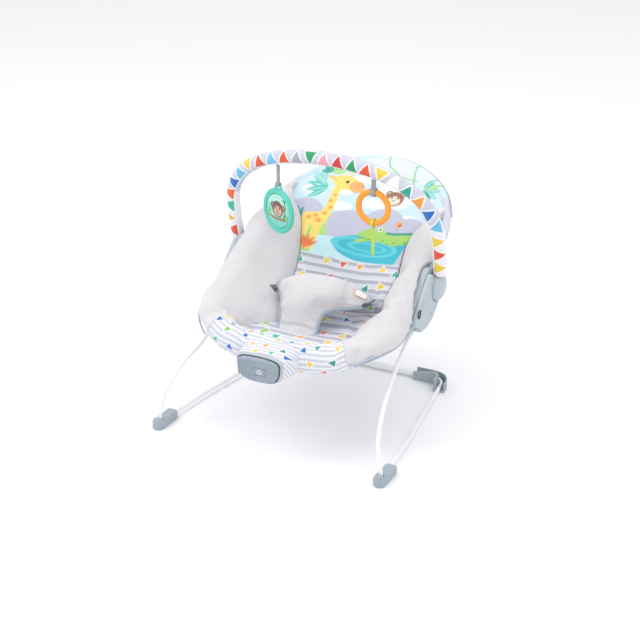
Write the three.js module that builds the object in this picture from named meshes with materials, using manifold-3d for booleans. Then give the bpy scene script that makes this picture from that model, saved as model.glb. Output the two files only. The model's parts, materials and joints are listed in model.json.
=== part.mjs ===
// A baby bouncer seat: a spring steel floor frame, two side hubs that carry a fabric sling seat,
// a padded toy bar that swings on the hubs, a restraint pad and a battery vibration pod.
//
// Drawing datum: X to the right of the middle plane as seen from the front (names with left_ lie at -X and
// names with right_ at +X), Y backwards from the two front bends of the frame, Z up from the floor. The
// finished assembly is moved so that the part's origin is the middle of its footprint, on the floor.
// All lengths are millimetres.

import * as THREE from 'three';
import { mergeVertices } from 'three/addons/utils/BufferGeometryUtils.js';
import ManifoldModule from 'manifold-3d';

const wasm = await ManifoldModule();
wasm.setup();

// ---------------------------------------------------------------- driving dimensions

const datumToOrigin = -258.6;
const gap = 0.35;
const sides = [[-1, 'left'], [1, 'right']];

const bend = { x: 235, z: 10 };
const rodRadius = 4;
const rodSides = 6;
const baseRodHeight = 9;
const rearTube = { y: 421, radius: 7, bore: 4.5, halfLength: 118 };
const footWidth = 24;
const footFront = -16;
const footBack = 50;
const footHeight = 17;
const lugHeight = 23;

const frameTubeRadius = 5.5;
const sleeveRadius = 9;
const slingThickness = 5;
const padThickness = 8;

const pivot = { x: 217.5, y: 292, z: 272 };
const hubInner = { from: 191, to: 203.6 };
const hubCover = { from: 204, to: 214 };
const discRadius = 28;
const discFace = { from: 204.4, to: 227 };
const pinRadius = 4;

const barRadius = 6;
const barBore = 4.4;
const barSleeve = { inner: 6.6, outer: 13.2 };
const webbing = 1.6;

const discToy = { x: -104, radius: 45, thickness: 8, top: 430, yaw: THREE.MathUtils.degToRad(-23.6) };
const ringToy = { x: 97, radius: 30.2, thickness: 5.8, top: 461 };
const ribbon = { width: 6, thickness: 1.2, end: 330 };

const pod = { front: -30, height: 187, halfWidth: 47, halfHeight: 28, back: 26, wall: 2.2 };
const buttonTravel = 1.5;

// ---------------------------------------------------------------- materials

const paint = (color, roughness, metalness = 0) =>
  new THREE.MeshStandardMaterial({ color, roughness, metalness });
const whitePaint = paint(0xf3f4f5, 0.4);
const zincSteel = paint(0xb9bcc0, 0.35, 0.9);
const greyPlastic = paint(0xa9b5bd, 0.55);
const darkPlastic = paint(0x30343a, 0.5);
const plush = paint(0xdedddc, 0.95);
const printCloth = paint(0xbfd9e6, 0.9);
const stripeCloth = paint(0xdcdfe8, 0.9);
const outerCloth = paint(0xd3d4e0, 0.9);
const barCloth = paint(0xd9d8e3, 0.9);
const webCloth = paint(0xa5a7ad, 0.9);
const tealPlastic = paint(0x4cc9b4, 0.4);
const orangePlastic = paint(0xf29a2e, 0.35);
const ribbonCloth = paint(0xd3e25b, 0.8);
const picturePlastic = paint(0x8fdccb, 0.4);
const boardGreen = paint(0x2f7d4f, 0.6);
const brass = paint(0xc8a24a, 0.35, 0.9);
const cellWrap = paint(0x4a5058, 0.4);

// ---------------------------------------------------------------- solids and meshes

const assembly = new THREE.Group();
assembly.position.y = datumToOrigin;

function solidOf(geometry) {
  const bare = geometry.index ? geometry.toNonIndexed() : geometry.clone();
  for (const name of Object.keys(bare.attributes)) {
    if (name !== 'position') bare.deleteAttribute(name);
  }
  const merged = mergeVertices(bare, 1e-3);
  const solid = new wasm.Manifold(new wasm.Mesh({
    numProp: 3,
    vertProperties: new Float32Array(merged.attributes.position.array),
    triVerts: new Uint32Array(merged.index.array),
  }));
  return solid;
}

function geometryOf(solid) {
  const mesh = solid.getMesh();
  const geometry = new THREE.BufferGeometry();
  geometry.setAttribute('position', new THREE.BufferAttribute(new Float32Array(mesh.vertProperties), 3));
  geometry.setIndex(new THREE.BufferAttribute(new Uint32Array(mesh.triVerts), 1));
  geometry.computeVertexNormals();
  return geometry;
}

// Cutting leaves slivers that are no part of the piece, so only its largest body is kept.
function largestBody(solid) {
  return solid.decompose().reduce((best, body) => (body.volume() > best.volume() ? body : best));
}

function piece(name, solid, material) {
  const trimmed = largestBody(solid.simplify(0.1));
  const mesh = new THREE.Mesh(geometryOf(largestBody(solidOf(geometryOf(trimmed)))), material);
  mesh.name = name;
  assembly.add(mesh);
}

const join = (...solids) => solids.reduce((whole, solid) => whole.add(solid));
const cut = (solid, ...tools) => tools.reduce((left, tool) => left.subtract(tool), solid);
const point = (x, y, z) => new THREE.Vector3(x, y, z);
const curveOf = (points) => new THREE.CatmullRomCurve3(points.map((p) => point(...p)), false, 'centripetal');
const mirrored = (points, side) => points.map(([x, y, z]) => [side * x, y, z]);
const bothSides = (half) => [...mirrored(half, -1), ...mirrored(half.slice(0, -1), 1).reverse()];

const placed = (solid, x, y, z) => solid.translate([x, y, z]);

function box(x0, x1, y0, y1, z0, z1) {
  const geometry = new THREE.BoxGeometry(x1 - x0, y1 - y0, z1 - z0);
  geometry.translate((x0 + x1) / 2, (y0 + y1) / 2, (z0 + z1) / 2);
  return solidOf(geometry);
}

// A closed round bar along a curve, whose radius may change from one end to the other.
function roundBar(curve, radiusAt, ringSides, steps) {
  const frames = curve.computeFrenetFrames(steps, false);
  const rings = [];
  for (let i = 0; i <= steps; i += 1) {
    const t = i / steps;
    const centre = curve.getPointAt(t);
    const radius = typeof radiusAt === 'number' ? radiusAt : radiusAt(t);
    const ring = [];
    for (let k = 0; k < ringSides; k += 1) {
      const angle = (2 * Math.PI * (k + 0.5)) / ringSides;
      ring.push(centre.clone()
        .addScaledVector(frames.normals[i], radius * Math.cos(angle))
        .addScaledVector(frames.binormals[i], radius * Math.sin(angle)));
    }
    rings.push(ring);
  }
  return loft(rings);
}

// Skins a row of rings that have the same number of points, and closes both ends.
function loft(rings) {
  const count = rings[0].length;
  const positions = rings.flat().flatMap((p) => [p.x, p.y, p.z]);
  const index = [];
  for (let i = 0; i < rings.length - 1; i += 1) {
    for (let k = 0; k < count; k += 1) {
      const a = i * count + k;
      const b = i * count + ((k + 1) % count);
      index.push(a, b, a + count, b, b + count, a + count);
    }
  }
  const last = (rings.length - 1) * count;
  for (let k = 1; k < count - 1; k += 1) {
    index.push(0, k + 1, k);
    index.push(last, last + k, last + k + 1);
  }
  const geometry = new THREE.BufferGeometry();
  geometry.setAttribute('position', new THREE.Float32BufferAttribute(positions, 3));
  geometry.setIndex(index);
  const solid = solidOf(geometry);
  return solid.volume() > 0 ? solid : solidOf(flipped(geometry));
}

function flipped(geometry) {
  const turned = geometry.clone();
  turned.setIndex([...geometry.index.array].reverse());
  return turned;
}

// A closed sheet between two grids of points, each a list of rows.
function sheetBetween(upper, lower) {
  const rows = upper.length;
  const columns = upper[0].length;
  const positions = [...upper.flat(), ...lower.flat()].flatMap((p) => [p.x, p.y, p.z]);
  const low = rows * columns;
  const at = (i, j) => i * columns + j;
  const index = [];
  const quad = (a, b, c, d) => index.push(a, b, c, a, c, d);
  for (let i = 0; i < rows - 1; i += 1) {
    for (let j = 0; j < columns - 1; j += 1) {
      quad(at(i, j), at(i, j + 1), at(i + 1, j + 1), at(i + 1, j));
      quad(low + at(i, j), low + at(i + 1, j), low + at(i + 1, j + 1), low + at(i, j + 1));
    }
    quad(at(i, 0), at(i + 1, 0), low + at(i + 1, 0), low + at(i, 0));
    const end = columns - 1;
    quad(at(i, end), low + at(i, end), low + at(i + 1, end), at(i + 1, end));
  }
  for (let j = 0; j < columns - 1; j += 1) {
    quad(at(0, j), low + at(0, j), low + at(0, j + 1), at(0, j + 1));
    const end = rows - 1;
    quad(at(end, j), at(end, j + 1), low + at(end, j + 1), low + at(end, j));
  }
  const geometry = new THREE.BufferGeometry();
  geometry.setAttribute('position', new THREE.Float32BufferAttribute(positions, 3));
  geometry.setIndex(index);
  const solid = solidOf(geometry);
  return solid.volume() > 0 ? solid : solidOf(flipped(geometry));
}

// The same outline with each corner moved away from the middle.
function grown(corners, distance) {
  const count = corners.length;
  const middle = corners.reduce((sum, [u, v]) => [sum[0] + u / count, sum[1] + v / count], [0, 0]);
  return corners.map(([u, v]) => {
    const arm = new THREE.Vector2(u - middle[0], v - middle[1]);
    arm.setLength(arm.length() + distance);
    return [middle[0] + arm.x, middle[1] + arm.y];
  });
}

// A flat outline with its corners rounded by quadratic curves.
function roundedShape(corners, radius) {
  const shape = new THREE.Shape();
  const count = corners.length;
  corners.forEach((corner, i) => {
    const here = new THREE.Vector2(...corner);
    const before = new THREE.Vector2(...corners[(i + count - 1) % count]);
    const after = new THREE.Vector2(...corners[(i + 1) % count]);
    const start = here.clone().add(before.sub(here).setLength(radius));
    const end = here.clone().add(after.sub(here).setLength(radius));
    if (i === 0) shape.moveTo(start.x, start.y);
    else shape.lineTo(start.x, start.y);
    shape.quadraticCurveTo(here.x, here.y, end.x, end.y);
  });
  shape.closePath();
  return shape;
}

const axisFrames = {
  x: new THREE.Matrix4().makeBasis(point(0, 1, 0), point(0, 0, 1), point(1, 0, 0)),
  y: new THREE.Matrix4().makeBasis(point(-1, 0, 0), point(0, 0, 1), point(0, 1, 0)),
  z: new THREE.Matrix4(),
};

// Extrudes a flat shape from one station to another along X, Y or Z.
// The shape is drawn in (Y, Z) for X, in (-X, Z) for Y and in (X, Y) for Z.
function slab(shape, axis, from, to, bevel = 0, curveSegments = 2) {
  const geometry = new THREE.ExtrudeGeometry(shape, {
    depth: Math.abs(to - from) - 2 * bevel,
    curveSegments,
    bevelEnabled: bevel > 0,
    bevelThickness: bevel,
    bevelSize: bevel,
    bevelOffset: -bevel,
    bevelSegments: 1,
  });
  geometry.translate(0, 0, Math.min(from, to) + bevel);
  geometry.applyMatrix4(axisFrames[axis]);
  return solidOf(geometry);
}

// A plain cylinder along X, Y or Z between two stations, about a centre given in the other two directions.
function rod(axis, from, to, u, v, radius, segments = 20) {
  const length = Math.abs(to - from);
  const middle = (from + to) / 2;
  const geometry = new THREE.CylinderGeometry(radius, radius, length, segments);
  if (axis === 'x') geometry.rotateZ(Math.PI / 2).translate(middle, u, v);
  if (axis === 'y') geometry.translate(u, middle, v);
  if (axis === 'z') geometry.rotateX(Math.PI / 2).translate(u, v, middle);
  return solidOf(geometry);
}

// ---------------------------------------------------------------- floor frame

const baseRodPath = [[235, 9, baseRodHeight], [229, 70, baseRodHeight], [219, 167, baseRodHeight],
  [207, 245, baseRodHeight], [196, 320, baseRodHeight], [187, 383, baseRodHeight],
  [183, 404, baseRodHeight], [173, 417, baseRodHeight], [158, 421, baseRodHeight],
  [140, 421, baseRodHeight], [88, 421, baseRodHeight]];
const legRodPath = [[235, 0, bend.z], [234, 1, 30], [224, 10, 76], [213, 53, 117], [201, 113, 145],
  [198, 177, 190], [198, 229, 216], [198, 252, 238]];

function frontFoot(side) {
  const x0 = side * bend.x;
  const half = footWidth / 2;
  const outline = new THREE.Shape();
  outline.moveTo(-half, footBack - 8);
  outline.lineTo(-half, footFront + half);
  outline.absarc(0, footFront + half, half, Math.PI, 2 * Math.PI, false);
  outline.lineTo(half, footBack - 8);
  outline.quadraticCurveTo(half, footBack, half - 8, footBack);
  outline.lineTo(8 - half, footBack);
  outline.quadraticCurveTo(-half, footBack, -half, footBack - 8);
  const body = slab(outline, 'z', 0, footHeight, 2.5, 5);
  const lugOutline = new THREE.Shape();
  lugOutline.moveTo(-9, -7);
  lugOutline.absarc(0, -7, 9, Math.PI, 2 * Math.PI, false);
  const lug = slab(lugOutline, 'z', 3, lugHeight, 2, 4);
  const rodSlot = box(-rodRadius - 0.8, rodRadius + 0.8, -6.6, 7, bend.z - 4.6, 40);
  const rodWell = rod('x', -rodRadius - 0.8, rodRadius + 0.8, 0, bend.z, 4.6);
  const whole = cut(placed(join(body, lug), x0, 0, 0), placed(join(rodSlot, rodWell), x0, 0, 0));
  const bore = roundBar(curveOf(mirrored(baseRodPath.slice(0, 4), side)), rodRadius + gap, rodSides, 10);
  const boreMouth = rod('y', 4, 12, x0, baseRodHeight, rodRadius + gap);
  return cut(whole, bore, boreMouth);
}

function cornerStrip(side, inner, outer, from, to, z0, z1) {
  const path = curveOf(baseRodPath.slice(4));
  const steps = 12;
  const ends = [[], []];
  for (let i = 0; i <= steps; i += 1) {
    const t = from + ((to - from) * i) / steps;
    const here = path.getPointAt(t);
    const along = path.getTangentAt(t);
    [inner, outer].forEach((offset, k) => {
      ends[k].push(new THREE.Vector2(side * (here.x + along.y * offset), here.y - along.x * offset));
    });
  }
  return slab(new THREE.Shape([...ends[0], ...ends[1].reverse()]), 'z', z0, z1);
}

function rearFoot(side) {
  const start = 0.32;
  const end = 0.84;
  const sole = cornerStrip(side, -12, 11.5, start, end, 0, 3.6);
  const outerWall = cornerStrip(side, 9, 11.5, start, end, 0, 20);
  const innerWall = cornerStrip(side, -12, -5.2, start, end, 0, 27);
  const slope = new THREE.Shape([[side * 90, 60], [side * 90, 11], [side * 165, 27], [side * 165, 60]]
    .map(([x, z]) => new THREE.Vector2(-x, z)));
  const trimmed = cut(innerWall, slab(slope, 'y', 380, 450));
  const tubeRoom = rod('x', side * 80, side * (rearTube.halfLength + gap), rearTube.y, baseRodHeight,
    rearTube.radius + gap);
  const rodRoom = roundBar(curveOf(mirrored(baseRodPath, side)), rodRadius + 2 * gap, rodSides, 24);
  return cut(join(sole, outerWall, trimmed), tubeRoom, rodRoom);
}

for (const [side, name] of sides) {
  const rodCurve = curveOf(mirrored(baseRodPath, side));
  piece(`${name}_base_rod`, roundBar(rodCurve, rodRadius, rodSides, 24), whitePaint);
  piece(`${name}_front_foot`, frontFoot(side), greyPlastic);
  piece(`${name}_rear_foot`, rearFoot(side), greyPlastic);
}
const tubeSpan = rearTube.halfLength;
piece('rear_cross_tube', cut(
  rod('x', -tubeSpan, tubeSpan, rearTube.y, baseRodHeight, rearTube.radius),
  rod('x', -tubeSpan - 1, tubeSpan + 1, rearTube.y, baseRodHeight, rearTube.bore, rodSides * 2),
), whitePaint);

// ---------------------------------------------------------------- seat frame

const frontTubeHalf = [[198, 262, 268], [192, 241, 259], [186, 218, 251], [183, 172, 231], [178, 120, 213],
  [162, 80, 202], [126, 60, 193], [70, 54, 187], [0, 53, 185]];
const backTubeHalf = [[198, 282, 290], [195, 306, 307], [192, 330, 322], [190, 360, 338], [178, 410, 359],
  [151, 459, 384], [117, 491, 399.5], [61, 526, 411], [0, 539, 415]];
const frontTubeCurve = curveOf(bothSides(frontTubeHalf));
const backTubeCurve = curveOf(bothSides(backTubeHalf));
const tubeSides = 6;
const tubeSteps = 22;
const frontSleeve = (radius) => roundBar(frontTubeCurve, radius, tubeSides, tubeSteps);
const backSleeve = (radius) => roundBar(backTubeCurve, radius, tubeSides, tubeSteps);

piece('seat_front_tube', frontSleeve(frameTubeRadius), zincSteel);
piece('seat_back_tube', backSleeve(frameTubeRadius), zincSteel);

const hubOutline = [[192, 240], [190, 226], [206, 221], [214, 206], [240, 204], [270, 212], [300, 236],
  [321, 262], [318, 288], [298, 308], [272, 314], [262, 311], [234, 284]];
const coverOutline = [[192, 240], [190, 226], [206, 221], [214, 206], [240, 204], [270, 212], [300, 236],
  [300, 281], [270, 281], [269, 304], [260, 308], [234, 284]];

function hubParts(side) {
  const legCurve = curveOf(mirrored(legRodPath, side));
  const legRoom = roundBar(legCurve, rodRadius + gap, rodSides, 16);
  const inner = cut(
    slab(roundedShape(hubOutline, 4), 'x', side * hubInner.from, side * hubInner.to, 1.2),
    frontSleeve(frameTubeRadius + gap),
    backSleeve(frameTubeRadius + gap),
    legRoom,
    rod('x', side * 180, side * 220, pivot.y, pivot.z, pinRadius + gap, 16),
  );
  const grooveOuter = roundedShape([[199, 236], [211, 236], [213, 254], [201, 256]], 3);
  const grooveInner = roundedShape([[202.4, 230], [207.6, 230], [209.6, 250.6], [204, 252]], 2);
  const clipGroove = cut(
    slab(grooveOuter, 'x', side * 212.6, side * 220),
    slab(grooveInner, 'x', side * 212, side * 221),
  );
  const cover = cut(
    slab(roundedShape(coverOutline, 4), 'x', side * hubCover.from, side * hubCover.to, 1.8),
    rod('x', side * 200, side * 220, pivot.y, pivot.z, discRadius + 1.4, 36),
    clipGroove,
  );
  return { inner, cover, legCurve };
}

const hubScrewSpots = [[222, 262], [262, 226]];

for (const [side, name] of sides) {
  const { inner, cover, legCurve } = hubParts(side);
  const holes = hubScrewSpots.map(([y, z]) => rod('x', side * 195, side * 220, y, z, 2.4, 8));
  const heads = hubScrewSpots.map(([y, z]) => rod('x', side * 211.6, side * 220, y, z, 4.4, 10));
  piece(`${name}_leg_rod`, roundBar(legCurve, rodRadius, rodSides, 16)
    .add(placed(solidOf(new THREE.SphereGeometry(rodRadius, 8, 6)), side * bend.x, 0, bend.z)), whitePaint);
  piece(`${name}_hub_inner`, cut(inner, ...holes), greyPlastic);
  piece(`${name}_hub_cover`, cut(cover, ...holes, ...heads), greyPlastic);
  hubScrewSpots.forEach(([y, z], i) => {
    const shank = rod('x', side * 196, side * 212.5, y, z, 2, 8);
    const head = rod('x', side * 212, side * 213.8, y, z, 4, 10);
    piece(`${name}_hub_screw_${i + 1}`, join(shank, head), zincSteel);
  });
}

// ---------------------------------------------------------------- sling and pads

// Stations from the front edge to the head: the sling's middle (Y, Z), its edge (X, Y, Z), where the pads'
// side seam lies (X) and the side bolster's radius there.
const stations = [
  { middle: [57, 181], edge: [136, 64, 195], seam: 118 },
  { middle: [92, 184], edge: [168, 84, 204], seam: 112 },
  { middle: [130, 175], edge: [179, 118, 213], seam: 104 },
  { middle: [168, 170], edge: [182, 150, 224], seam: 96 },
  { middle: [206, 176], edge: [184, 186, 238], seam: 88 },
  { middle: [243, 201], edge: [186, 214, 250], seam: 80 },
  { middle: [273, 229], edge: [192, 246, 269], seam: 82 },
  { middle: [306, 252], edge: [193, 280, 292], seam: 88 },
  { middle: [346, 278], edge: [190, 322, 317], seam: 102 },
  { middle: [391, 308], edge: [188, 366, 341], seam: 124 },
  { middle: [434, 338], edge: [177, 410, 359], seam: 160 },
  { middle: [478, 368], edge: [150, 459, 384], seam: 136 },
  { middle: [509, 390], edge: [116, 491, 399], seam: 98 },
  { middle: [531, 405], edge: [60, 526, 411], seam: 50 },
];
const slingPower = 2.2;
const firstBackStation = 5;

function stationFrame(index) {
  const low = Math.floor(index);
  const t = index - low;
  const a = stations[low];
  const b = stations[Math.min(low + 1, stations.length - 1)];
  const mix = (p, q) => p + (q - p) * t;
  const middle = point(0, mix(a.middle[0], b.middle[0]), mix(a.middle[1], b.middle[1]));
  const edge = point(mix(a.edge[0], b.edge[0]), mix(a.edge[1], b.edge[1]), mix(a.edge[2], b.edge[2]));
  const normal = normalAt(low).lerp(normalAt(Math.min(low + 1, stations.length - 1)), t).normalize();
  return { middle, edge, normal, seam: mix(a.seam, b.seam) };
}

function normalAt(i) {
  const before = stations[Math.max(i - 1, 0)].middle;
  const after = stations[Math.min(i + 1, stations.length - 1)].middle;
  return point(0, before[1] - after[1], after[0] - before[0]).normalize();
}

function slingPoint(frame, x, height) {
  const u = Math.min(Math.abs(x) / frame.edge.x, 1);
  const rise = Math.pow(u, slingPower);
  return point(
    x,
    frame.middle.y + (frame.edge.y - frame.middle.y) * rise + frame.normal.y * height,
    frame.middle.z + (frame.edge.z - frame.middle.z) * rise + frame.normal.z * height,
  );
}

// A layer of the seat between two heights above the sling's middle surface, across part of its width.
function layer(fromStation, toStation, xFrom, xTo, low, high, columns = 8) {
  const upper = [];
  const lower = [];
  const list = [fromStation];
  for (let i = Math.floor(fromStation) + 1; i < toStation; i += 1) list.push(i);
  list.push(toStation);
  for (const index of list) {
    const frame = stationFrame(index);
    const x0 = xFrom(frame);
    const x1 = xTo(frame);
    const place = (height) => Array.from({ length: columns + 1 }, (_, j) =>
      slingPoint(frame, x0 + ((x1 - x0) * j) / columns, height));
    upper.push(place(high));
    lower.push(place(low));
  }
  return sheetBetween(upper, lower);
}

const half = slingThickness / 2;
const outward = (grow) => (frame) => frame.edge.x + grow;
const inward = (grow) => (frame) => -frame.edge.x - grow;
const slingLayer = (from, to, grow) => layer(from, to, inward(0), outward(0), -half - grow, half + grow);
const seatEnd = firstBackStation - 0.01;
const backStart = firstBackStation + 0.01;
const lastStation = stations.length - 1;

const hubRooms = sides.map(([side]) =>
  slab(roundedShape(grown(hubOutline, 1.2), 4), 'x', side * (hubInner.from - 2 * gap), side * 230));
const behindSplit = box(-260, 260, 226, 700, 0, 700);
const aheadOfSplit = box(-260, 260, -100, 226.5, 0, 700);

piece('seat_sling', cut(
  join(slingLayer(0, seatEnd, 0), cut(frontSleeve(sleeveRadius), box(-260, 260, 212, 400, 0, 700))),
  frontSleeve(frameTubeRadius + gap),
  ...hubRooms,
), outerCloth);
piece('back_sling', cut(
  join(slingLayer(backStart, lastStation, 0), cut(backSleeve(sleeveRadius), aheadOfSplit)),
  backSleeve(frameTubeRadius + gap),
  frontSleeve(sleeveRadius + gap),
  ...hubRooms,
), outerCloth);

const padLow = half + 2.6;
const padHigh = padLow + padThickness;
const seamOut = (frame) => frame.seam;
const seamIn = (frame) => -frame.seam;
const edgeRooms = join(frontSleeve(sleeveRadius + gap), backSleeve(sleeveRadius + gap));

const slingRoom = slingLayer(0, lastStation, gap);
const padEnd = lastStation - 0.7;
const padOf = (from, to) => layer(from, to, seamIn, seamOut, padLow, padHigh, 6);
piece('seat_pad', padOf(1.05, seatEnd), stripeCloth);
piece('back_pad', padOf(backStart, padEnd), printCloth);

// The waist straps leave the bolsters through slots, at the buckles.
const buckleSpot = { x: 100, y: 216, z: 243 };
const buckleTilt = 20;
const strapEnd = 32;
const buckleTravel = 15;
const strapPocketEnd = strapEnd + buckleTravel + 2;
function tilted(solid, side) {
  const turned = solid.rotate([0, side * -buckleTilt, 0]);
  return placed(turned, side * buckleSpot.x, buckleSpot.y, buckleSpot.z);
}
const span = (side, a, b) => [Math.min(side * a, side * b), Math.max(side * a, side * b)];

// Side bolsters: a stuffed roll along the rim, joined by a web to the seam of the pads.
const rollPath = [[134, 68, 205], [150, 88, 211], [162, 122, 219], [166, 172, 236], [167, 220, 259],
  [166, 266, 285], [163, 301, 308], [159, 342, 335], [154, 374, 356], [148, 402, 374]];
const rollRadius = 28.5;
const lipEnd = 132.6;
const rollEndRadius = 6;
const rollTaperStart = 0.66;
const crestRise = 0.72;
const crestIn = 0.68;
function rollRadiusAt(t) {
  if (t < rollTaperStart) return rollRadius;
  const share = (t - rollTaperStart) / (1 - rollTaperStart);
  return rollRadius - (rollRadius - rollEndRadius) * Math.pow(share, 1.4);
}

function wing(side) {
  const curve = curveOf(mirrored(rollPath, side));
  const roll = roundBar(curve, rollRadiusAt, 8, 12);
  const upper = [];
  const lower = [];
  for (let index = 1; index <= 9; index += 1) {
    const frame = stationFrame(index);
    const seamTop = slingPoint(frame, side * (frame.seam + gap), padHigh);
    const seamLow = slingPoint(frame, side * (frame.seam + gap), padLow);
    const t = nearestOn(curve, slingPoint(frame, side * 166, 30));
    const centre = curve.getPointAt(t);
    const radius = rollRadiusAt(t);
    const crest = centre.clone()
      .addScaledVector(frame.normal, radius * crestRise)
      .add(point(-side * radius * crestIn, 0, 0));
    const heel = slingPoint(frame, side * Math.min(Math.abs(centre.x), frame.edge.x - 12), padLow);
    upper.push([seamTop, seamTop.clone().lerp(crest, 0.5).addScaledVector(frame.normal, -4), crest]);
    lower.push([seamLow, seamLow.clone().lerp(heel, 0.5).addScaledVector(frame.normal, -2), heel]);
  }
  return cut(
    join(roll, sheetBetween(upper, lower)),
    edgeRooms,
    slingRoom,
    layer(1.05, seatEnd, seamIn, seamOut, padLow - gap, padHigh + 40),
    layer(backStart, lastStation, seamIn, seamOut, padLow - gap, padHigh + 40),
    box(-lipEnd - gap, lipEnd + gap, -50, 110, 0, 400),
    tilted(box(...span(side, -16, strapPocketEnd), -13.5, 13.5, -4.6, 4.6), side),
    ...hubRooms,
  );
}

function nearestOn(curve, target) {
  const samples = Array.from({ length: 61 }, (_, i) => i / 60);
  return samples.reduce((best, t) =>
    (curve.getPointAt(t).distanceTo(target) < curve.getPointAt(best).distanceTo(target) ? t : best), 0);
}

for (const [side, name] of sides) piece(`${name}_wing`, wing(side), plush);

const lipPath = [[140, 70, 206], [100, 57, 196], [60, 53, 190], [0, 51, 186]];
const podRoom = (grow) => join(
  slab(podShape(pod.halfWidth + 2 * grow, pod.halfHeight + 2 * grow), 'y', -60, pod.back + grow, 0, 4),
  box(-15 - grow, 15 + grow, 10, 67 + grow, 175 - grow, 196 + grow),
);

function podShape(halfWidth, halfHeight) {
  const shape = new THREE.Shape();
  const z = pod.height;
  const end = 0.45;
  shape.moveTo(-halfWidth, z + halfHeight * end);
  shape.bezierCurveTo(-halfWidth, z - halfHeight * 0.7, -halfWidth * 0.8, z - halfHeight, 0, z - halfHeight);
  shape.bezierCurveTo(halfWidth * 0.8, z - halfHeight, halfWidth, z - halfHeight * 0.7,
    halfWidth, z + halfHeight * end);
  shape.bezierCurveTo(halfWidth, z + halfHeight * 0.95, halfWidth * 0.6, z + halfHeight, 0, z + halfHeight);
  shape.bezierCurveTo(-halfWidth * 0.6, z + halfHeight, -halfWidth, z + halfHeight * 0.95,
    -halfWidth, z + halfHeight * end);
  return shape;
}

piece('front_lip', cut(
  roundBar(curveOf(bothSides(lipPath)), rollRadius - 1, 10, 8),
  frontSleeve(sleeveRadius + gap),
  slingRoom,
  podRoom(gap),
  ...sides.map(([side]) => box(...span(side, lipEnd, 200), 0, 200, 100, 300)),
), stripeCloth);

// ---------------------------------------------------------------- vibration pod

function podShell(halfWidth, halfHeight, from, to, bevel = 0) {
  return slab(podShape(halfWidth, halfHeight), 'y', from, to, bevel, 4);
}

const batteryAxis = { y: 10.5, z: 191, radius: 13 };
const motorAxis = { y: 10, z: 190 };
const rearShell = cut(
  join(
    cut(podShell(pod.halfWidth, pod.halfHeight, -4, pod.back, 1.5),
      podShell(pod.halfWidth - pod.wall, pod.halfHeight - pod.wall, -8, pod.back - pod.wall)),
    box(-15, 15, pod.back - 1, 66, 175, 196),
  ),
  frontSleeve(sleeveRadius + gap),
  slingRoom,
);
const doorShape = roundedShape([[-38, 2], [6, 2], [6, 21], [-38, 21]], 3);
const doorRoom = roundedShape([[-38.4, 1.6], [6.4, 1.6], [6.4, 21.4], [-38.4, 21.4]], 3);
piece('pod_rear_housing', cut(rearShell, slab(doorRoom, 'z', 150, 166)), greyPlastic);
const doorScrew = { x: -16, y: 11.5, head: 3, shank: 1.3 };
piece('battery_door', cut(
  slab(doorShape, 'z', 159.4, 162),
  rod('z', 150, 170, doorScrew.x, doorScrew.y, doorScrew.shank + 0.4, 12),
), greyPlastic);
piece('battery_door_screw', join(
  rod('z', 157.6, 159.1, doorScrew.x, doorScrew.y, doorScrew.head, 12),
  rod('z', 158, 166, doorScrew.x, doorScrew.y, doorScrew.shank, 10),
), zincSteel);
piece('pod_bezel', cut(
  podShell(pod.halfWidth, pod.halfHeight, -22, -4.4, 2),
  podShell(pod.halfWidth - 3.6, pod.halfHeight - 3.4, -30, 0),
), greyPlastic);
const buttonSpot = { x: 6, z: 186 };
const buttonShape = (grow) => roundedShape([
  [-buttonSpot.x - 12 - grow, buttonSpot.z - 7 - grow], [-buttonSpot.x + 12 + grow, buttonSpot.z - 7 - grow],
  [-buttonSpot.x + 12 + grow, buttonSpot.z + 7 + grow], [-buttonSpot.x - 12 - grow, buttonSpot.z + 7 + grow],
], 4);
piece('pod_face', cut(
  podShell(pod.halfWidth - 4.2, pod.halfHeight - 4, pod.front, -12, 3),
  podShell(pod.halfWidth - 8, pod.halfHeight - 7.6, pod.front + 3.4, 0),
  slab(buttonShape(0.5), 'y', -40, 0),
), greyPlastic);
piece('power_button', join(
  slab(buttonShape(0), 'y', pod.front - 0.8, -22, 1),
  slab(roundedShape([[-9, 183], [-3, 183], [-3, 189], [-9, 189]], 1.5), 'y', -23, -14.5),
), greyPlastic);
const boardShape = roundedShape([[-34, 170], [30, 170], [34, 202], [-34, 202]], 3);
piece('circuit_board', slab(boardShape, 'y', -11, -9.4), boardGreen);
piece('battery', rod('x', -38, 10, batteryAxis.y, batteryAxis.z, batteryAxis.radius, 20), cellWrap);
for (const [name, from] of [['battery_contact_minus', -40], ['battery_contact_plus', 11]]) {
  const { y, z } = batteryAxis;
  piece(name, box(from, from + 1, y - 6, y + 6, z - 7, z + 7), brass);
}
piece('motor', cut(
  rod('x', 15, 31, motorAxis.y, motorAxis.z, 9, 16),
  rod('x', 20, 31, motorAxis.y, motorAxis.z, 1.4, 10),
), zincSteel);
const weightCorners = [[-7, -7.5], [7, -7.5], [7, 1.6], [-7, 1.6]]
  .map(([y, z]) => [motorAxis.y + y, motorAxis.z + z]);
const weightHalf = slab(roundedShape(weightCorners, 3), 'x', 33, 38);
piece('motor_weight', join(rod('x', 21, 38, motorAxis.y, motorAxis.z, 1, 10), weightHalf), brass);

// ---------------------------------------------------------------- restraint

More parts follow.
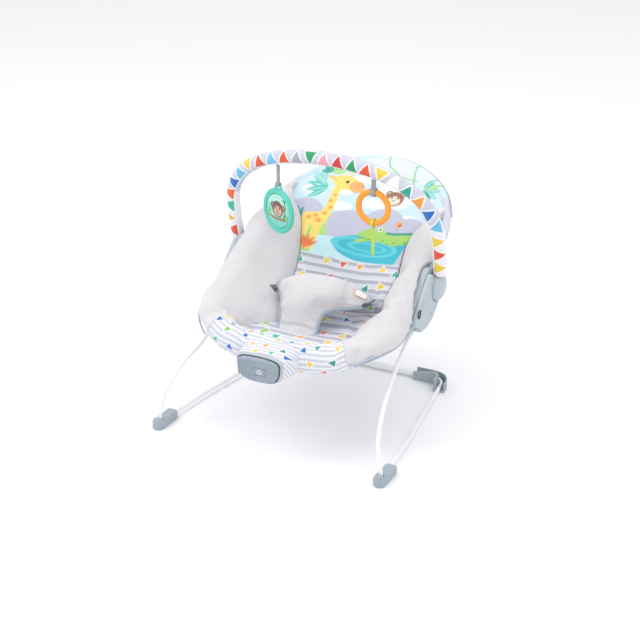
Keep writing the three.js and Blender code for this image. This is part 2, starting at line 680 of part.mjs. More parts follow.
// Rows of the pad from its top edge over the belly and down to the crotch: middle (Y, Z), half width,
// and how far its ends lie back and down from the middle.
const padRows = [
  { middle: [228, 281], halfWidth: 74, back: 6, drop: 26 },
  { middle: [205, 287], halfWidth: 84, back: 16, drop: 32 },
  { middle: [180, 281], halfWidth: 86, back: 32, drop: 34 },
  { middle: [163, 265], halfWidth: 66, back: 30, drop: 22 },
  { middle: [152, 244], halfWidth: 42, back: 14, drop: 6 },
  { middle: [147, 220], halfWidth: 32, back: 6, drop: 1 },
  { middle: [148, 198], halfWidth: 30, back: 3, drop: 0 },
];
const restraintThickness = 10;

function restraintPad() {
  const columns = 8;
  const grid = (depth) => padRows.map((row, i) => {
    const before = padRows[Math.max(i - 1, 0)].middle;
    const after = padRows[Math.min(i + 1, padRows.length - 1)].middle;
    const inwardDir = point(0, before[1] - after[1], after[0] - before[0]).normalize();
    return Array.from({ length: columns + 1 }, (_, j) => {
      const u = -1 + (2 * j) / columns;
      return point(
        u * row.halfWidth,
        row.middle[0] + row.back * u * u,
        row.middle[1] - row.drop * u * u,
      ).addScaledVector(inwardDir, depth);
    });
  });
  return sheetBetween(grid(0), grid(restraintThickness));
}
piece('crotch_pad', restraintPad(), plush);

for (const [side, name] of sides) {
  const socket = cut(
    box(...span(side, -13, 5), -13, 13, -4, 4),
    box(...span(side, -9, 6), -8.4, 8.4, -1.7, 1.7),
  );
  const tongue = join(
    box(...span(side, -7, 6), -8, 8, -1.3, 1.3),
    cut(box(...span(side, 5.6, 15), -12, 12, -2.4, 2.4), box(...span(side, 8.4, 11.6), -9.4, 9.4, -4, 4)),
  );
  const strap = box(...span(side, 15.4, strapEnd), -9, 9, -0.8, 0.8);
  piece(`${name}_buckle_socket`, tilted(socket, side), darkPlastic);
  piece(`${name}_buckle_tongue`, tilted(tongue, side), darkPlastic);
  piece(`${name}_waist_strap`, tilted(strap, side), webCloth);
}

// ---------------------------------------------------------------- toy bar

const barHalf = [[217.5, 290, 294], [219.5, 284, 325], [219.5, 277, 360], [216.5, 269, 396], [207, 264, 423],
  [191, 259, 446], [163, 254, 469], [118, 249, 489], [60, 246.5, 501], [0, 246, 505]];
const barCurve = curveOf(bothSides(barHalf));
const barSteps = 22;
const barSolid = (radius, ringSides) => roundBar(barCurve, radius, ringSides, barSteps);
const barTrim = sides.map(([side]) => box(...span(side, 190, 240), 270, 310, 280, 296));

piece('toy_bar_tube', cut(barSolid(barRadius, 6), extended(barBore)), greyPlastic);
piece('toy_bar_sleeve', cut(barSolid(barSleeve.outer, 8), extended(barSleeve.inner), ...barTrim), barCloth);

function extended(radius) {
  const ends = sides.map(([side]) => placed(rod('z', 280, 300, 0, 0, radius, 6), side * pivot.x, 290.6, 0));
  return join(barSolid(radius, 6), ...ends);
}

const spigotPath = [[217.4, 291.4, 280], [217.6, 289.4, 297], [219.3, 285.2, 319], [219.6, 282.2, 334]];
const sleeveEndPath = [[217.4, 290.4, 287], [217.8, 288, 304], [219.5, 282, 332]];

function socketDisc(side) {
  const profile = [[0, 0], [discRadius, 0], [discRadius, 9], [discRadius - 3, 15.5], [discRadius - 9, 19.5],
    [10, 21.6], [0, discFace.to - discFace.from]].map(([r, h]) => new THREE.Vector2(r, h));
  const dome = new THREE.LatheGeometry(profile, 24);
  dome.rotateZ(-side * Math.PI / 2);
  dome.translate(side * discFace.from, pivot.y, pivot.z);
  const spigot = roundBar(curveOf(mirrored(spigotPath, side)), barBore - 1.1, 6, 6);
  const sleeveRoom = roundBar(curveOf(mirrored(sleeveEndPath, side)), barSleeve.outer + 1.8, 10, 4);
  const pinRoom = rod('x', side * 200, side * (discFace.to - 5), pivot.y, pivot.z, pinRadius + gap, 16);
  return cut(join(cut(solidOf(dome), sleeveRoom), spigot), pinRoom);
}

for (const [side, name] of sides) {
  piece(`${name}_bar_socket`, socketDisc(side), greyPlastic);
  const pin = rod('x', side * 193, side * (discFace.to - 6), pivot.y, pivot.z, pinRadius, 16);
  piece(`${name}_pivot_pin`, pin, zincSteel);
}

// ---------------------------------------------------------------- toys

function onBar(x) {
  const samples = Array.from({ length: 401 }, (_, i) => 0.3 + (0.4 * i) / 400);
  const t = samples.reduce((best, s) =>
    (Math.abs(barCurve.getPointAt(s).x - x) < Math.abs(barCurve.getPointAt(best).x - x) ? s : best), 0.5);
  return barCurve.getPointAt(t);
}

function loopAround(centre, along, inner, width) {
  const direction = along.clone().normalize();
  const line = new THREE.LineCurve3(
    centre.clone().addScaledVector(direction, -width / 2),
    centre.clone().addScaledVector(direction, width / 2),
  );
  const longer = new THREE.LineCurve3(
    centre.clone().addScaledVector(direction, -width),
    centre.clone().addScaledVector(direction, width),
  );
  return cut(roundBar(line, inner + webbing, 14, 1), roundBar(longer, inner, 14, 1));
}

const strapWidth = 10;
const seamRoom = 1.9;

// A strap sewn to the underside of the bar's sleeve, with a loop at its lower end.
function hangingStrap(x, loopHeight, loopInner, yaw) {
  const centre = onBar(x);
  const across = point(Math.cos(yaw), Math.sin(yaw), 0);
  const loop = loopAround(point(x, centre.y, loopHeight), across, loopInner, strapWidth);
  const top = centre.z - barSleeve.outer - seamRoom;
  const end = loopHeight + loopInner + 0.4;
  const tail = box(-strapWidth / 2, strapWidth / 2, -webbing / 2, webbing / 2, end, top)
    .rotate([0, 0, THREE.MathUtils.radToDeg(yaw)]);
  return join(loop, placed(tail, x, centre.y, 0));
}

const discY = onBar(discToy.x).y;
const discCentreZ = discToy.top - discToy.radius;
const discAt = (solid) => solid.rotate([0, 0, THREE.MathUtils.radToDeg(discToy.yaw)])
  .translate([discToy.x, discY, discCentreZ]);
const faceRadius = discToy.radius - 6;
const discBody = rod('y', -discToy.thickness / 2, discToy.thickness / 2, 0, 0, discToy.radius, 36);
const facePocket = rod('y', -10, -1.2, 0, 0, faceRadius - 4.6, 32);

// A lug on the disc's top edge, with a slot for the strap under its crossbar.
const lug = { halfWidth: 9, low: 41, high: 55, barLow: 51.4, slotLow: 47.6, slotHalf: 6, halfDepth: 2 };
const lugOutline = roundedShape([[-lug.halfWidth, lug.low], [lug.halfWidth, lug.low],
  [lug.halfWidth, lug.high], [-lug.halfWidth, lug.high]], 3);
const lugBody = cut(
  slab(lugOutline, 'y', -lug.halfDepth, lug.halfDepth),
  box(-lug.slotHalf, lug.slotHalf, -10, 10, lug.slotLow, lug.barLow),
);
piece('disc_toy_rim', discAt(cut(join(discBody, lugBody), facePocket)), tealPlastic);
piece('disc_toy_picture', discAt(rod('y', -3.2, -1.5, 0, 0, faceRadius - 5, 32)), picturePlastic);
const lugBarZ = discCentreZ + (lug.barLow + lug.high) / 2;
piece('disc_toy_strap', hangingStrap(discToy.x, lugBarZ, 3.3, discToy.yaw), webCloth);

const ringY = onBar(ringToy.x).y;
const ringCentreZ = ringToy.top - ringToy.radius - ringToy.thickness;
const torus = new THREE.TorusGeometry(ringToy.radius, ringToy.thickness, 8, 20);
torus.rotateX(Math.PI / 2);
piece('ring_toy_ring', placed(solidOf(torus), ringToy.x, ringY, ringCentreZ), orangePlastic);
const ringLoopInner = ringToy.thickness + 1.4;
piece('ring_toy_strap', hangingStrap(ringToy.x, ringToy.top - ringToy.thickness, ringLoopInner, 0), webCloth);

const ringBottom = ringCentreZ - ringToy.radius;
const ribbonTop = point(ringToy.x, ringY, ringBottom);
const ribbonLoop = loopAround(ribbonTop, point(1, 0, 0), ringLoopInner, ribbon.width);
const ribbonTail = box(ringToy.x - ribbon.width / 2, ringToy.x + ribbon.width / 2,
  ringY - ribbon.thickness / 2, ringY + ribbon.thickness / 2,
  ribbon.end, ringBottom - ringToy.thickness - 1.8);
piece('ring_toy_ribbon', join(ribbonLoop, ribbonTail), ribbonCloth);

export default assembly;
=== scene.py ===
# The looks of a baby bouncer seat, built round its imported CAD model.
# Lengths in the tables are millimetres from the drawing datum (y = 0 at the frame's front bends); at() turns
# them into metres in the part's own frame.

import json
import math
import random

import bmesh
import bpy
import numpy as np
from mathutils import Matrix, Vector, noise
from mathutils.bvhtree import BVHTree


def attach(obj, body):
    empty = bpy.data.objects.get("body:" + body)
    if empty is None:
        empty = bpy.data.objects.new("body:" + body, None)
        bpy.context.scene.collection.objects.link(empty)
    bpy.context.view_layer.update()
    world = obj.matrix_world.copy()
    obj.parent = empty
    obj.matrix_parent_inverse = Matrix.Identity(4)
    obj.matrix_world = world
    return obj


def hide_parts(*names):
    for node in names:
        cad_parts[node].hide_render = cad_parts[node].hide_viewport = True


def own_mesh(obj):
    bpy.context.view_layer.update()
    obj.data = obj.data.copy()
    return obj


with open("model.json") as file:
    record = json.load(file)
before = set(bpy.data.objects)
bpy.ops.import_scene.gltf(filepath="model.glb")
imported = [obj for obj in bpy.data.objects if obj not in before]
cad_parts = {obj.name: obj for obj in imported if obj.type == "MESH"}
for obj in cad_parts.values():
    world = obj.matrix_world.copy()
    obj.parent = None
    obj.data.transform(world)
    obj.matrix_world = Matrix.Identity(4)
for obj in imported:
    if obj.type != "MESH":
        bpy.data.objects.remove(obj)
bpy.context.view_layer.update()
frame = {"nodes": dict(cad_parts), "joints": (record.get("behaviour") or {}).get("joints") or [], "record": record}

JOINTS = {joint["name"]: joint for joint in frame["joints"]}
MM = 0.001
DATUM_Y = -JOINTS["seat_bounce"]["pos_m"][1]
SIDES = ((-1, "left"), (1, "right"))
# Blender's own noise starts from the clock unless it has a seed; with one, each run gives the same folds.
noise.seed_set(7)


def at(x, y, z):
    return np.array((x * MM, y * MM - DATUM_Y, z * MM))


# ---------------------------------------------------------------- camera, light and floor

CAMERA = {"place": at(1166.8, -2053.9, 1349.3), "azimuth": 27.167, "elevation": 24.461, "lens": 81.56}
SENSOR = 36
LIGHTS = {"key": {"place": (-1.6, -1.2, 2.6), "size": 1.6, "power": 26},
          "fill": {"place": (2.2, -1.6, 1.8), "size": 2.0, "power": 10},
          "top": {"place": (0.2, 0.4, 3.0), "size": 2.4, "power": 22}}
LIT_POINT = Vector((0, 0, 0.2))
FLOOR_REACH = 20.0
SKY_POWER = 0.9


def put(name, data):
    """A new object in the scene."""
    made = bpy.data.objects.new(name, data)
    bpy.context.scene.collection.objects.link(made)
    return made


def aim(thing, place, ahead):
    """Places a camera or a light, looking along a direction."""
    thing.location = place
    thing.rotation_mode = "QUATERNION"
    thing.rotation_quaternion = ahead.to_track_quat("-Z", "Y")


def make_camera():
    data = bpy.data.cameras.new("camera")
    data.lens = CAMERA["lens"]
    data.sensor_width = SENSOR
    data.clip_end = 60
    camera = put("camera", data)
    a, e = math.radians(CAMERA["azimuth"]), math.radians(CAMERA["elevation"])
    ahead = Vector((-math.sin(a) * math.cos(e), math.cos(a) * math.cos(e), -math.sin(e)))
    aim(camera, Vector(CAMERA["place"]), ahead)
    bpy.context.scene.camera = camera


def make_studio():
    world = bpy.data.worlds.new("studio")
    world.use_nodes = True
    background = world.node_tree.nodes["Background"].inputs
    background["Color"].default_value = (1.0, 1.0, 1.0, 1)
    background["Strength"].default_value = SKY_POWER
    bpy.context.scene.world = world
    bpy.context.scene.view_settings.view_transform = "Standard"
    for name, light in LIGHTS.items():
        data = bpy.data.lights.new(name, "AREA")
        data.size = light["size"]
        data.energy = light["power"]
        aim(put(name, data), light["place"], LIT_POINT - Vector(light["place"]))
    floor = bpy.data.meshes.new("floor")
    corners = [(x * FLOOR_REACH, y * FLOOR_REACH, 0) for x, y in ((-1, -1), (1, -1), (1, 1), (-1, 1))]
    floor.from_pydata(corners, [], [(0, 1, 2, 3)])
    floor.materials.append(floor_material())
    put("floor", floor)


# ---------------------------------------------------------------- materials

def linear(hex_colour):
    """A colour written as in a paint chart, in the linear values that shaders use."""
    values = [int(hex_colour[i:i + 2], 16) / 255 for i in (0, 2, 4)]
    return [v / 12.92 if v <= 0.04045 else ((v + 0.055) / 1.055) ** 2.4 for v in values]


class Shader:
    """A material's node tree, with short names for the nodes that this scene uses."""

    def __init__(self, name):
        self.material = bpy.data.materials.new(name)
        self.material.use_nodes = True
        self.tree = self.material.node_tree
        self.surface = self.tree.nodes["Principled BSDF"]

    def node(self, kind, **settings):
        made = self.tree.nodes.new(kind)
        for key, value in settings.items():
            if hasattr(made, key):
                setattr(made, key, value)
            else:
                made.inputs[key.replace("_", " ")].default_value = value
        return made

    def link(self, source, target):
        self.tree.links.new(source, target)

    def set(self, **values):
        for key, value in values.items():
            self.surface.inputs[key.replace("_", " ")].default_value = value

    def place(self, stretch=(1, 1, 1)):
        mapping = self.node("ShaderNodeMapping")
        mapping.inputs["Scale"].default_value = stretch
        self.link(self.node("ShaderNodeTexCoord").outputs["Object"], mapping.inputs["Vector"])
        return mapping.outputs["Vector"]

    def noise(self, per_metre, detail=3.0, stretch=(1, 1, 1)):
        made = self.node("ShaderNodeTexNoise", Scale=per_metre, Detail=detail)
        self.link(self.place(stretch), made.inputs["Vector"])
        return made.outputs["Fac"]

    def spread(self, value, low, high):
        """Turns a value round 0.5 into one from low to high."""
        made = self.node("ShaderNodeMapRange")
        made.inputs["From Min"].default_value = 0.3
        made.inputs["From Max"].default_value = 0.7
        made.inputs["To Min"].default_value = low
        made.inputs["To Max"].default_value = high
        self.link(value, made.inputs["Value"])
        return made.outputs["Result"]

    def shade(self, colour, value, low, high):
        """A colour made darker and lighter by a value."""
        made = self.node("ShaderNodeHueSaturation")
        if isinstance(colour, (list, tuple)):
            made.inputs["Color"].default_value = (*colour, 1)
        else:
            self.link(colour, made.inputs["Color"])
        self.link(self.spread(value, low, high), made.inputs["Value"])
        self.link(made.outputs["Color"], self.surface.inputs["Base Color"])

    def rough(self, per_metre, low, high):
        """A roughness that wanders from low to high."""
        self.link(self.spread(self.noise(per_metre), low, high), self.surface.inputs["Roughness"])

    def printed(self):
        """The colours that are painted on the mesh."""
        return self.node("ShaderNodeAttribute", attribute_name="print").outputs["Color"]

    def bump(self, *layers):
        """Each layer is a height and its depth in metres."""
        before = None
        for height, depth in layers:
            made = self.node("ShaderNodeBump", Distance=depth, Strength=1.0)
            self.link(height, made.inputs["Height"])
            if before:
                self.link(before, made.inputs["Normal"])
            before = made.outputs["Normal"]
        self.link(before, self.surface.inputs["Normal"])

    def weave(self, threads_per_metre):
        """The height of crossing threads."""
        waves = []
        for direction in ("X", "DIAGONAL"):
            made = self.node("ShaderNodeTexWave", bands_direction=direction, Scale=threads_per_metre,
                             Distortion=0.6)
            self.link(self.place(), made.inputs["Vector"])
            waves.append(made.outputs["Fac"])
        mixed = self.node("ShaderNodeMath", operation="MULTIPLY")
        self.link(waves[0], mixed.inputs[0])
        self.link(waves[1], mixed.inputs[1])
        return mixed.outputs["Value"]


def floor_material():
    shader = Shader("floor")
    shader.set(Roughness=0.6)
    shader.shade([0.93, 0.93, 0.94], shader.noise(1.2), 0.995, 1.0)
    return shader.material


def painted_steel():
    shader = Shader("painted_steel")
    shader.set(Coat_Weight=0.35, Coat_Roughness=0.2)
    shader.shade(linear("f0f1f3"), shader.noise(18), 0.96, 1.0)
    shader.rough(90, 0.3, 0.42)
    shader.bump((shader.noise(1400), 0.00003))
    return shader.material


def zinc_steel():
    shader = Shader("zinc_steel")
    shader.set(Metallic=1.0)
    shader.shade(linear("b9bcc0"), shader.noise(60, stretch=(1, 8, 8)), 0.85, 1.05)
    shader.rough(200, 0.28, 0.42)
    shader.bump((shader.noise(900, stretch=(1, 6, 6)), 0.00003))
    return shader.material


def moulded_plastic(name, colour, low=0.42, high=0.55, grain=0.00005):
    shader = Shader(name)
    shader.shade(linear(colour), shader.noise(14), 0.95, 1.04)
    shader.rough(260, low, high)
    shader.bump((shader.noise(1100, 5.0), grain))
    return shader.material


def plush(name, colour):
    shader = Shader(name)
    shader.set(Roughness=0.95, Sheen_Weight=0.55, Sheen_Roughness=0.45)
    shader.set(Sheen_Tint=(1.0, 0.99, 0.98, 1))
    pile = shader.noise(900, 5.0)
    nap = shader.noise(22, 3.0, (1, 0.45, 0.45))
    shader.shade(linear(colour), nap, 0.965, 1.02)
    shader.bump((shader.noise(45, 3.0), 0.0014), (shader.noise(320, 4.0), 0.00035), (pile, 0.0003))
    return shader.material


def cloth(name, colour=None, threads=620, sheen=0.25):
    """A woven cloth: of one colour, or printed with the colours painted on the mesh."""
    shader = Shader(name)
    shader.set(Roughness=0.85, Sheen_Weight=sheen, Sheen_Roughness=0.5)
    shader.shade(linear(colour) if colour else shader.printed(), shader.noise(420, 2.0), 0.965, 1.015)
    shader.bump((shader.noise(50, 2.0), 0.0008), (shader.weave(threads), 0.00018))
    return shader.material


def painted_plastic(name):
    shader = Shader(name)
    shader.set(Coat_Weight=0.3, Coat_Roughness=0.15)
    shader.shade(shader.printed(), shader.noise(40), 0.97, 1.02)
    shader.rough(200, 0.3, 0.4)
    return shader.material


# Each plastic's colour, its lowest and highest roughness and the depth of its grain in metres.
PLASTICS = {
    "grey_plastic": ("b3bec6",),
    "face_plastic": ("939fac", 0.36, 0.48),
    "foot_rubber_plastic": ("9fabb3", 0.5, 0.65),
    "buckle_plastic": ("5d6064", 0.3, 0.42),
    "teal_plastic": ("55c9b6", 0.28, 0.38, 0.00002),
    "orange_plastic": ("f6a02c", 0.22, 0.34, 0.00002),
    "board": ("2f7d4f",),
    "cell_wrap": ("4a5058",),
    "white_plastic": ("f4f5f6", 0.25, 0.35, 0.00002),
    # painted_gap_shade: a dark plastic for thin tubes that stand for the shade in grooves, as painted shade.
    "painted_gap_shade": ("3a3f45",),
}
# Each cloth's colour, its threads per metre and its sheen; the ones without a colour are printed.
CLOTHS = {
    "printed_cloth": (),
    "striped_cloth": (),
    "bar_cloth": (),
    "tag_cloth": (),
    "outer_cloth": ("d2d3df",),
    "piping_cloth": ("a9b9cb", 900),
    "webbing": ("a6a7ab", 700, 0.1),
    "thread": ("c9ccd6", 1500, 0.1),
    "ribbon_cloth": ("cfe05a", 900, 0.2),
}
MATERIALS = {
    "rod_paint": painted_steel(),
    "tube_steel": zinc_steel(),
    "contact_brass": zinc_steel(),
    "plush": plush("plush", "d2d0d3"),
    "picture_plastic": painted_plastic("picture_plastic"),
    **{name: moulded_plastic(name, *look) for name, look in PLASTICS.items()},
    **{name: cloth(name, *look) for name, look in CLOTHS.items()},
}


# ---------------------------------------------------------------- curves and meshes

class Path:
    """A smooth curve through points of a table, measured along its length from 0 to 1."""

    def __init__(self, points, per_span=40):
        p = np.array([at(*q) for q in points])
        p = np.vstack([2 * p[0] - p[1], p, 2 * p[-1] - p[-2]])
        rows = []
        s = np.linspace(0, 1, per_span, endpoint=False)[:, None]
        for a, b, c, d in zip(p, p[1:], p[2:], p[3:]):
            ka, kb, kc = (math.sqrt(np.linalg.norm(q - r)) for q, r in ((b, a), (c, b), (d, c)))
            tb = ((b - a) / ka - (c - a) / (ka + kb) + (c - b) / kb) * kb
            tc = ((c - b) / kb - (d - b) / (kb + kc) + (d - c) / kc) * kb
            rows.append((2 * s ** 3 - 3 * s ** 2 + 1) * b + (s ** 3 - 2 * s ** 2 + s) * tb
                        + (3 * s ** 2 - 2 * s ** 3) * c + (s ** 3 - s ** 2) * tc)
        self.p = np.vstack([*rows, p[-2][None]])
        step = np.linalg.norm(np.diff(self.p, axis=0), axis=1)
        self.length = step.sum()
        self.u = np.concatenate([[0], np.cumsum(step)]) / self.length

    def at(self, u):
        return np.stack([np.interp(u, self.u, self.p[:, k]) for k in range(3)], -1)

    def along(self, u, reach=0.004):
        d = self.at(np.clip(np.asarray(u) + reach, 0, 1)) - self.at(np.clip(np.asarray(u) - reach, 0, 1))
        return d / np.linalg.norm(d, axis=-1, keepdims=True)


def mirrored(points, side):
    return [(side * x, y, z) for x, y, z in points]


def both_sides(half):
    return [*mirrored(half, -1), *reversed(half[:-1])]


def steady_frames(along, first):
    """Two directions across a curve at each of its points, turning no more than the curve does."""
    normal = np.array(first, float)
    normals = []
    for d in along:
        normal = normal - d * (normal @ d)
        normal = normal / np.linalg.norm(normal)
        normals.append(normal)
    normals = np.array(normals)
    return normals, np.cross(along, normals)


def rings(path, us, radius, sides, first=(0, 0, 1)):
    """Circles of points round a path, as an array of rings; radius is a number or one for each ring."""
    us = np.asarray(us)
    normals, across = steady_frames(path.along(us), first)
    angle = np.linspace(0, 2 * math.pi, sides, endpoint=False)[None, :, None]
    radii = np.broadcast_to(radius, us.shape)[:, None, None]
    centre = path.at(us)[:, None, :]
    return centre + radii * (np.cos(angle) * normals[:, None, :] + np.sin(angle) * across[:, None, :])


def new_piece(name, points, faces, material, uv=None):
    mesh = bpy.data.meshes.new(name)
    mesh.from_pydata([tuple(p) for p in np.asarray(points).reshape(-1, 3)], [], faces)
    mesh.materials.append(MATERIALS[material])
    if uv is not None:
        layer = mesh.uv_layers.new(name="flat")
        layer.data.foreach_set("uv", np.asarray(uv, np.float32).ravel())
    piece = put(name, mesh)
    outward(piece)
    mesh.shade_smooth()
    return piece


def outward(piece):
    mesh = bmesh.new()
    mesh.from_mesh(piece.data)
    bmesh.ops.recalc_face_normals(mesh, faces=mesh.faces)
    if mesh.calc_volume(signed=True) < 0:
        bmesh.ops.reverse_faces(mesh, faces=mesh.faces)
    mesh.to_mesh(piece.data)
    mesh.free()


def skin(name, grid, material, body, flat=None):
    """A closed mesh over rings of points; flat gives each ring point's place on the flat cloth, one column
    more than the ring has, so that the seam of the tube meets itself."""
    rows, columns = grid.shape[:2]
    faces, uv = [], []
    for i in range(rows - 1):
        for j in range(columns):
            k = (j + 1) % columns
            faces.append((i * columns + j, i * columns + k, (i + 1) * columns + k, (i + 1) * columns + j))
            if flat is not None:
                uv += [flat[i][j], flat[i][j + 1], flat[i + 1][j + 1], flat[i + 1][j]]
    for row in (0, rows - 1):
        faces.append(tuple(row * columns + j for j in range(columns)))
        if flat is not None:
            uv += [flat[row][j] for j in range(columns)]
    piece = new_piece(name, grid, faces, material, uv if flat is not None else None)
    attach(piece, body)
    return piece


# The turns, in radians, of the rings that round a tube's ends, and how far the ends reach, in radii.
END_TURNS = (0.5, 1.0, 1.35)
END_REACH = 0.35


def tube(name, path, radius, material, body, steps=80, sides=20, span=(0, 1), first=(0, 0, 1)):
    """A round bar with softly rounded ends."""
    us = np.linspace(*span, steps + 1)
    radii = np.broadcast_to(radius, us.shape).astype(float)
    grid = rings(path, us, radii, sides, first)
    ends = []
    for row, sign in ((0, -1), (-1, 1)):
        centre = grid[row].mean(0)
        reach = radii[row]
        out = path.along(us[row]) * sign
        ends.append([centre + (grid[row] - centre) * math.cos(a) + out * reach * END_REACH * math.sin(a)
                     for a in END_TURNS])
    grid = np.concatenate([np.array(ends[0][::-1]), grid, np.array(ends[1])])
    return skin(name, grid, material, body)


def subdivide(piece, levels):
    modifier = piece.modifiers.new("finer", "SUBSURF")
    modifier.levels = levels
    modifier.render_levels = levels
    bake_modifiers(piece)


def bake_modifiers(piece):
    """Turns what a piece's modifiers make into its own mesh."""
    view = bpy.context.evaluated_depsgraph_get()
    made = bpy.data.meshes.new_from_object(piece.evaluated_get(view), preserve_all_data_layers=True,
                                           depsgraph=view)
    piece.modifiers.clear()
    piece.data = made
    made.shade_smooth()


def coordinates(mesh):
    values = np.empty(len(mesh.vertices) * 3, np.float32)
    mesh.vertices.foreach_get("co", values)
    return values.reshape(-1, 3).astype(float)


def set_coordinates(mesh, points):
    mesh.vertices.foreach_set("co", np.asarray(points, np.float32).ravel())
    mesh.update()


def wander(points, per_metre, depth, seed):
    """Moves points by smooth noise, as handling does to cloth."""
    shift = Vector((seed, seed * 1.7, -seed))
    return np.array([p + depth * np.array(noise.noise_vector(Vector(p) * per_metre + shift)) for p in points])


# ---------------------------------------------------------------- moulded pieces

def lathe(name, profile, centre, axis, material, body, sides=64):
    """A turned piece: the profile is (distance along the axis, radius), in metres."""
    axis = np.array(axis, float) / np.linalg.norm(axis)
    side = np.cross(axis, (0, 0, 1)) if abs(axis[2]) < 0.9 else np.cross(axis, (1, 0, 0))
    side /= np.linalg.norm(side)
    other = np.cross(axis, side)
    angle = np.linspace(0, 2 * math.pi, sides, endpoint=False)
    circle = np.cos(angle)[:, None] * side + np.sin(angle)[:, None] * other
    grid = np.array([np.array(centre) + axis * h + circle * r for h, r in profile])
    return skin(name, grid, material, body)


BODY_OF = {node: body for body, nodes in frame["record"]["behaviour"]["bodies"].items() for node in nodes}
SLOT_OF = {part["node"]: part["material_slot"] for part in frame["record"]["subparts"]}


def stands_for(piece, *nodes):
    """The piece is shown in place of these CAD nodes, which are hidden."""
    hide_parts(*nodes)
    return piece


def softened(node, voxel=0.7, rounds=4, material=None):
    """A moulded copy of a CAD node, whose edges are rounded as a mould rounds them."""
    piece = put(f"{node}_moulded", frame["nodes"][node].data.copy())
    remesh = piece.modifiers.new("remesh", "REMESH")
    remesh.mode = "VOXEL"
    remesh.voxel_size = voxel * MM
    smooth = piece.modifiers.new("smooth", "SMOOTH")
    smooth.factor = 0.5
    smooth.iterations = rounds
    bake_modifiers(piece)
    piece.data.materials.clear()
    piece.data.materials.append(MATERIALS[material or SLOT_OF[node]])
    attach(piece, BODY_OF[node])
    return stands_for(piece, node)


# ---------------------------------------------------------------- stuffed pieces

CLOTH_SETTINGS = {"quality": 6, "mass": 0.2, "tension_stiffness": 12, "compression_stiffness": 8,
                  "bending_stiffness": 0.4, "use_pressure": True}
FRAMES = 20


def simulate(piece, held, pressure, slack, cap):
    """Lets a stuffed piece swell and crease as cloth; held are the numbers of its sewn points, slack is how
    much too large its cloth is, and cap is the furthest that a point may move, in metres."""
    scene = bpy.context.scene
    rest = coordinates(piece.data)
    sewn = piece.vertex_groups.new(name="sewn")
    sewn.add([int(i) for i in held], 1.0, "REPLACE")
    modifier = piece.modifiers.new("cloth", "CLOTH")
    settings = modifier.settings
    for key, value in CLOTH_SETTINGS.items():
        setattr(settings, key, value)
    settings.uniform_pressure_force = pressure
    settings.shrink_min = -slack
    settings.vertex_group_mass = "sewn"
    settings.effector_weights.gravity = 0
    modifier.point_cache.frame_start = 1
    modifier.point_cache.frame_end = FRAMES
    for number in range(1, FRAMES + 1):
        scene.frame_set(number)
    view = bpy.context.evaluated_depsgraph_get()
    moved = coordinates(piece.evaluated_get(view).data) - rest
    piece.modifiers.remove(modifier)
    piece.vertex_groups.clear()
    scene.frame_set(1)
    far = np.linalg.norm(moved, axis=1, keepdims=True)
    limit = cap * np.tanh(far / cap) / np.maximum(far, 1e-9)
    set_coordinates(piece.data, rest + moved * limit)


# The seat's cloth, in rows from the front edge to the head: its middle (y, z), the frame tube at its side
# (x, y, z) and where the side bolsters' seam lies (x).
ROWS = np.array([
    (57, 181, 136, 64, 195, 118), (92, 184, 168, 84, 204, 112), (130, 175, 179, 118, 213, 104),
    (168, 170, 182, 150, 224, 96), (206, 176, 184, 186, 238, 88), (243, 201, 186, 214, 250, 80),
    (273, 229, 192, 246, 269, 82), (306, 252, 193, 280, 292, 88), (346, 278, 190, 322, 317, 102),
    (391, 308, 188, 366, 341, 124), (434, 338, 177, 410, 359, 160), (478, 368, 150, 459, 384, 136),
    (509, 390, 116, 491, 399, 102), (531, 405, 60, 526, 411, 50),
    (539.5, 414.5, 24, 538, 414.6, 20)], float)
# The middle lines of the right half of the frame tubes that the cloth is stretched on.
FRONT_TUBE = [(198, 262, 268), (192, 241, 259), (186, 218, 251), (183, 172, 231), (178, 120, 213),
              (162, 80, 202), (126, 60, 193), (70, 54, 187), (0, 53, 185)]
BACK_TUBE = [(198, 282, 290), (195, 306, 307), (192, 330, 322), (190, 360, 338), (178, 410, 359),
             (151, 459, 384), (117, 491, 399.5), (61, 526, 411), (0, 539, 415)]
FRONT_RIM = Path(both_sides(FRONT_TUBE))
BACK_RIM = Path(both_sides(BACK_TUBE))
# The columns of a row that hold the half width and the seam, and the rows of the fold and of the head.
HALF, SEAM = 2, 5
FOLD_ROW = 5
LAST_ROW = len(ROWS) - 1
# How steeply the cloth rises to its sides, half its thickness, and the pads' underside and top above it.
CLOTH_POWER = 2.2
CLOTH_HALF = 2.5
PAD_LOW = 3.0
PAD_HIGH = 13.1
# The radius of the cloth sleeves round the frame tubes.
SLEEVE = 9.0


def between(table, v):
    """A table's row at a place between its rows, smoothly."""
    last = len(table) - 1
    i = min(int(v), last - 1)
    t = v - i
    a, b, c, d = (table[max(0, min(last, k))] for k in (i - 1, i, i + 1, i + 2))
    return 0.5 * (2 * b + (c - a) * t + (2 * a - 5 * b + 4 * c - d) * t ** 2
                  + (3 * b - a - 3 * c + d) * t ** 3)


def seat_row(v):
    return between(ROWS, v)


def seat_normal(v):
    before, after = seat_row(max(v - 0.5, 0)), seat_row(min(v + 0.5, LAST_ROW))
    normal = np.array((0, before[1] - after[1], after[0] - before[0]))
    return normal / np.linalg.norm(normal)


def seat_point(v, x, height):
    """A point of the seat, in datum millimetres: x across it, height above the middle of its cloth."""
    row = seat_row(v)
    rise = min(abs(x) / row[HALF], 1.0) ** CLOTH_POWER
    y = row[0] + (row[3] - row[0]) * rise
    z = row[1] + (row[4] - row[1]) * rise
    return np.array((x, y, z)) + seat_normal(v) * height


def seat_length(v):
    """How far along the seat's middle a row lies, from the fold of the seat, in millimetres."""
    steps = np.linspace(FOLD_ROW, v, 24)
    points = np.array([seat_row(s)[:2] for s in steps])
    return math.copysign(np.linalg.norm(np.diff(points, axis=0), axis=1).sum(), v - FOLD_ROW)


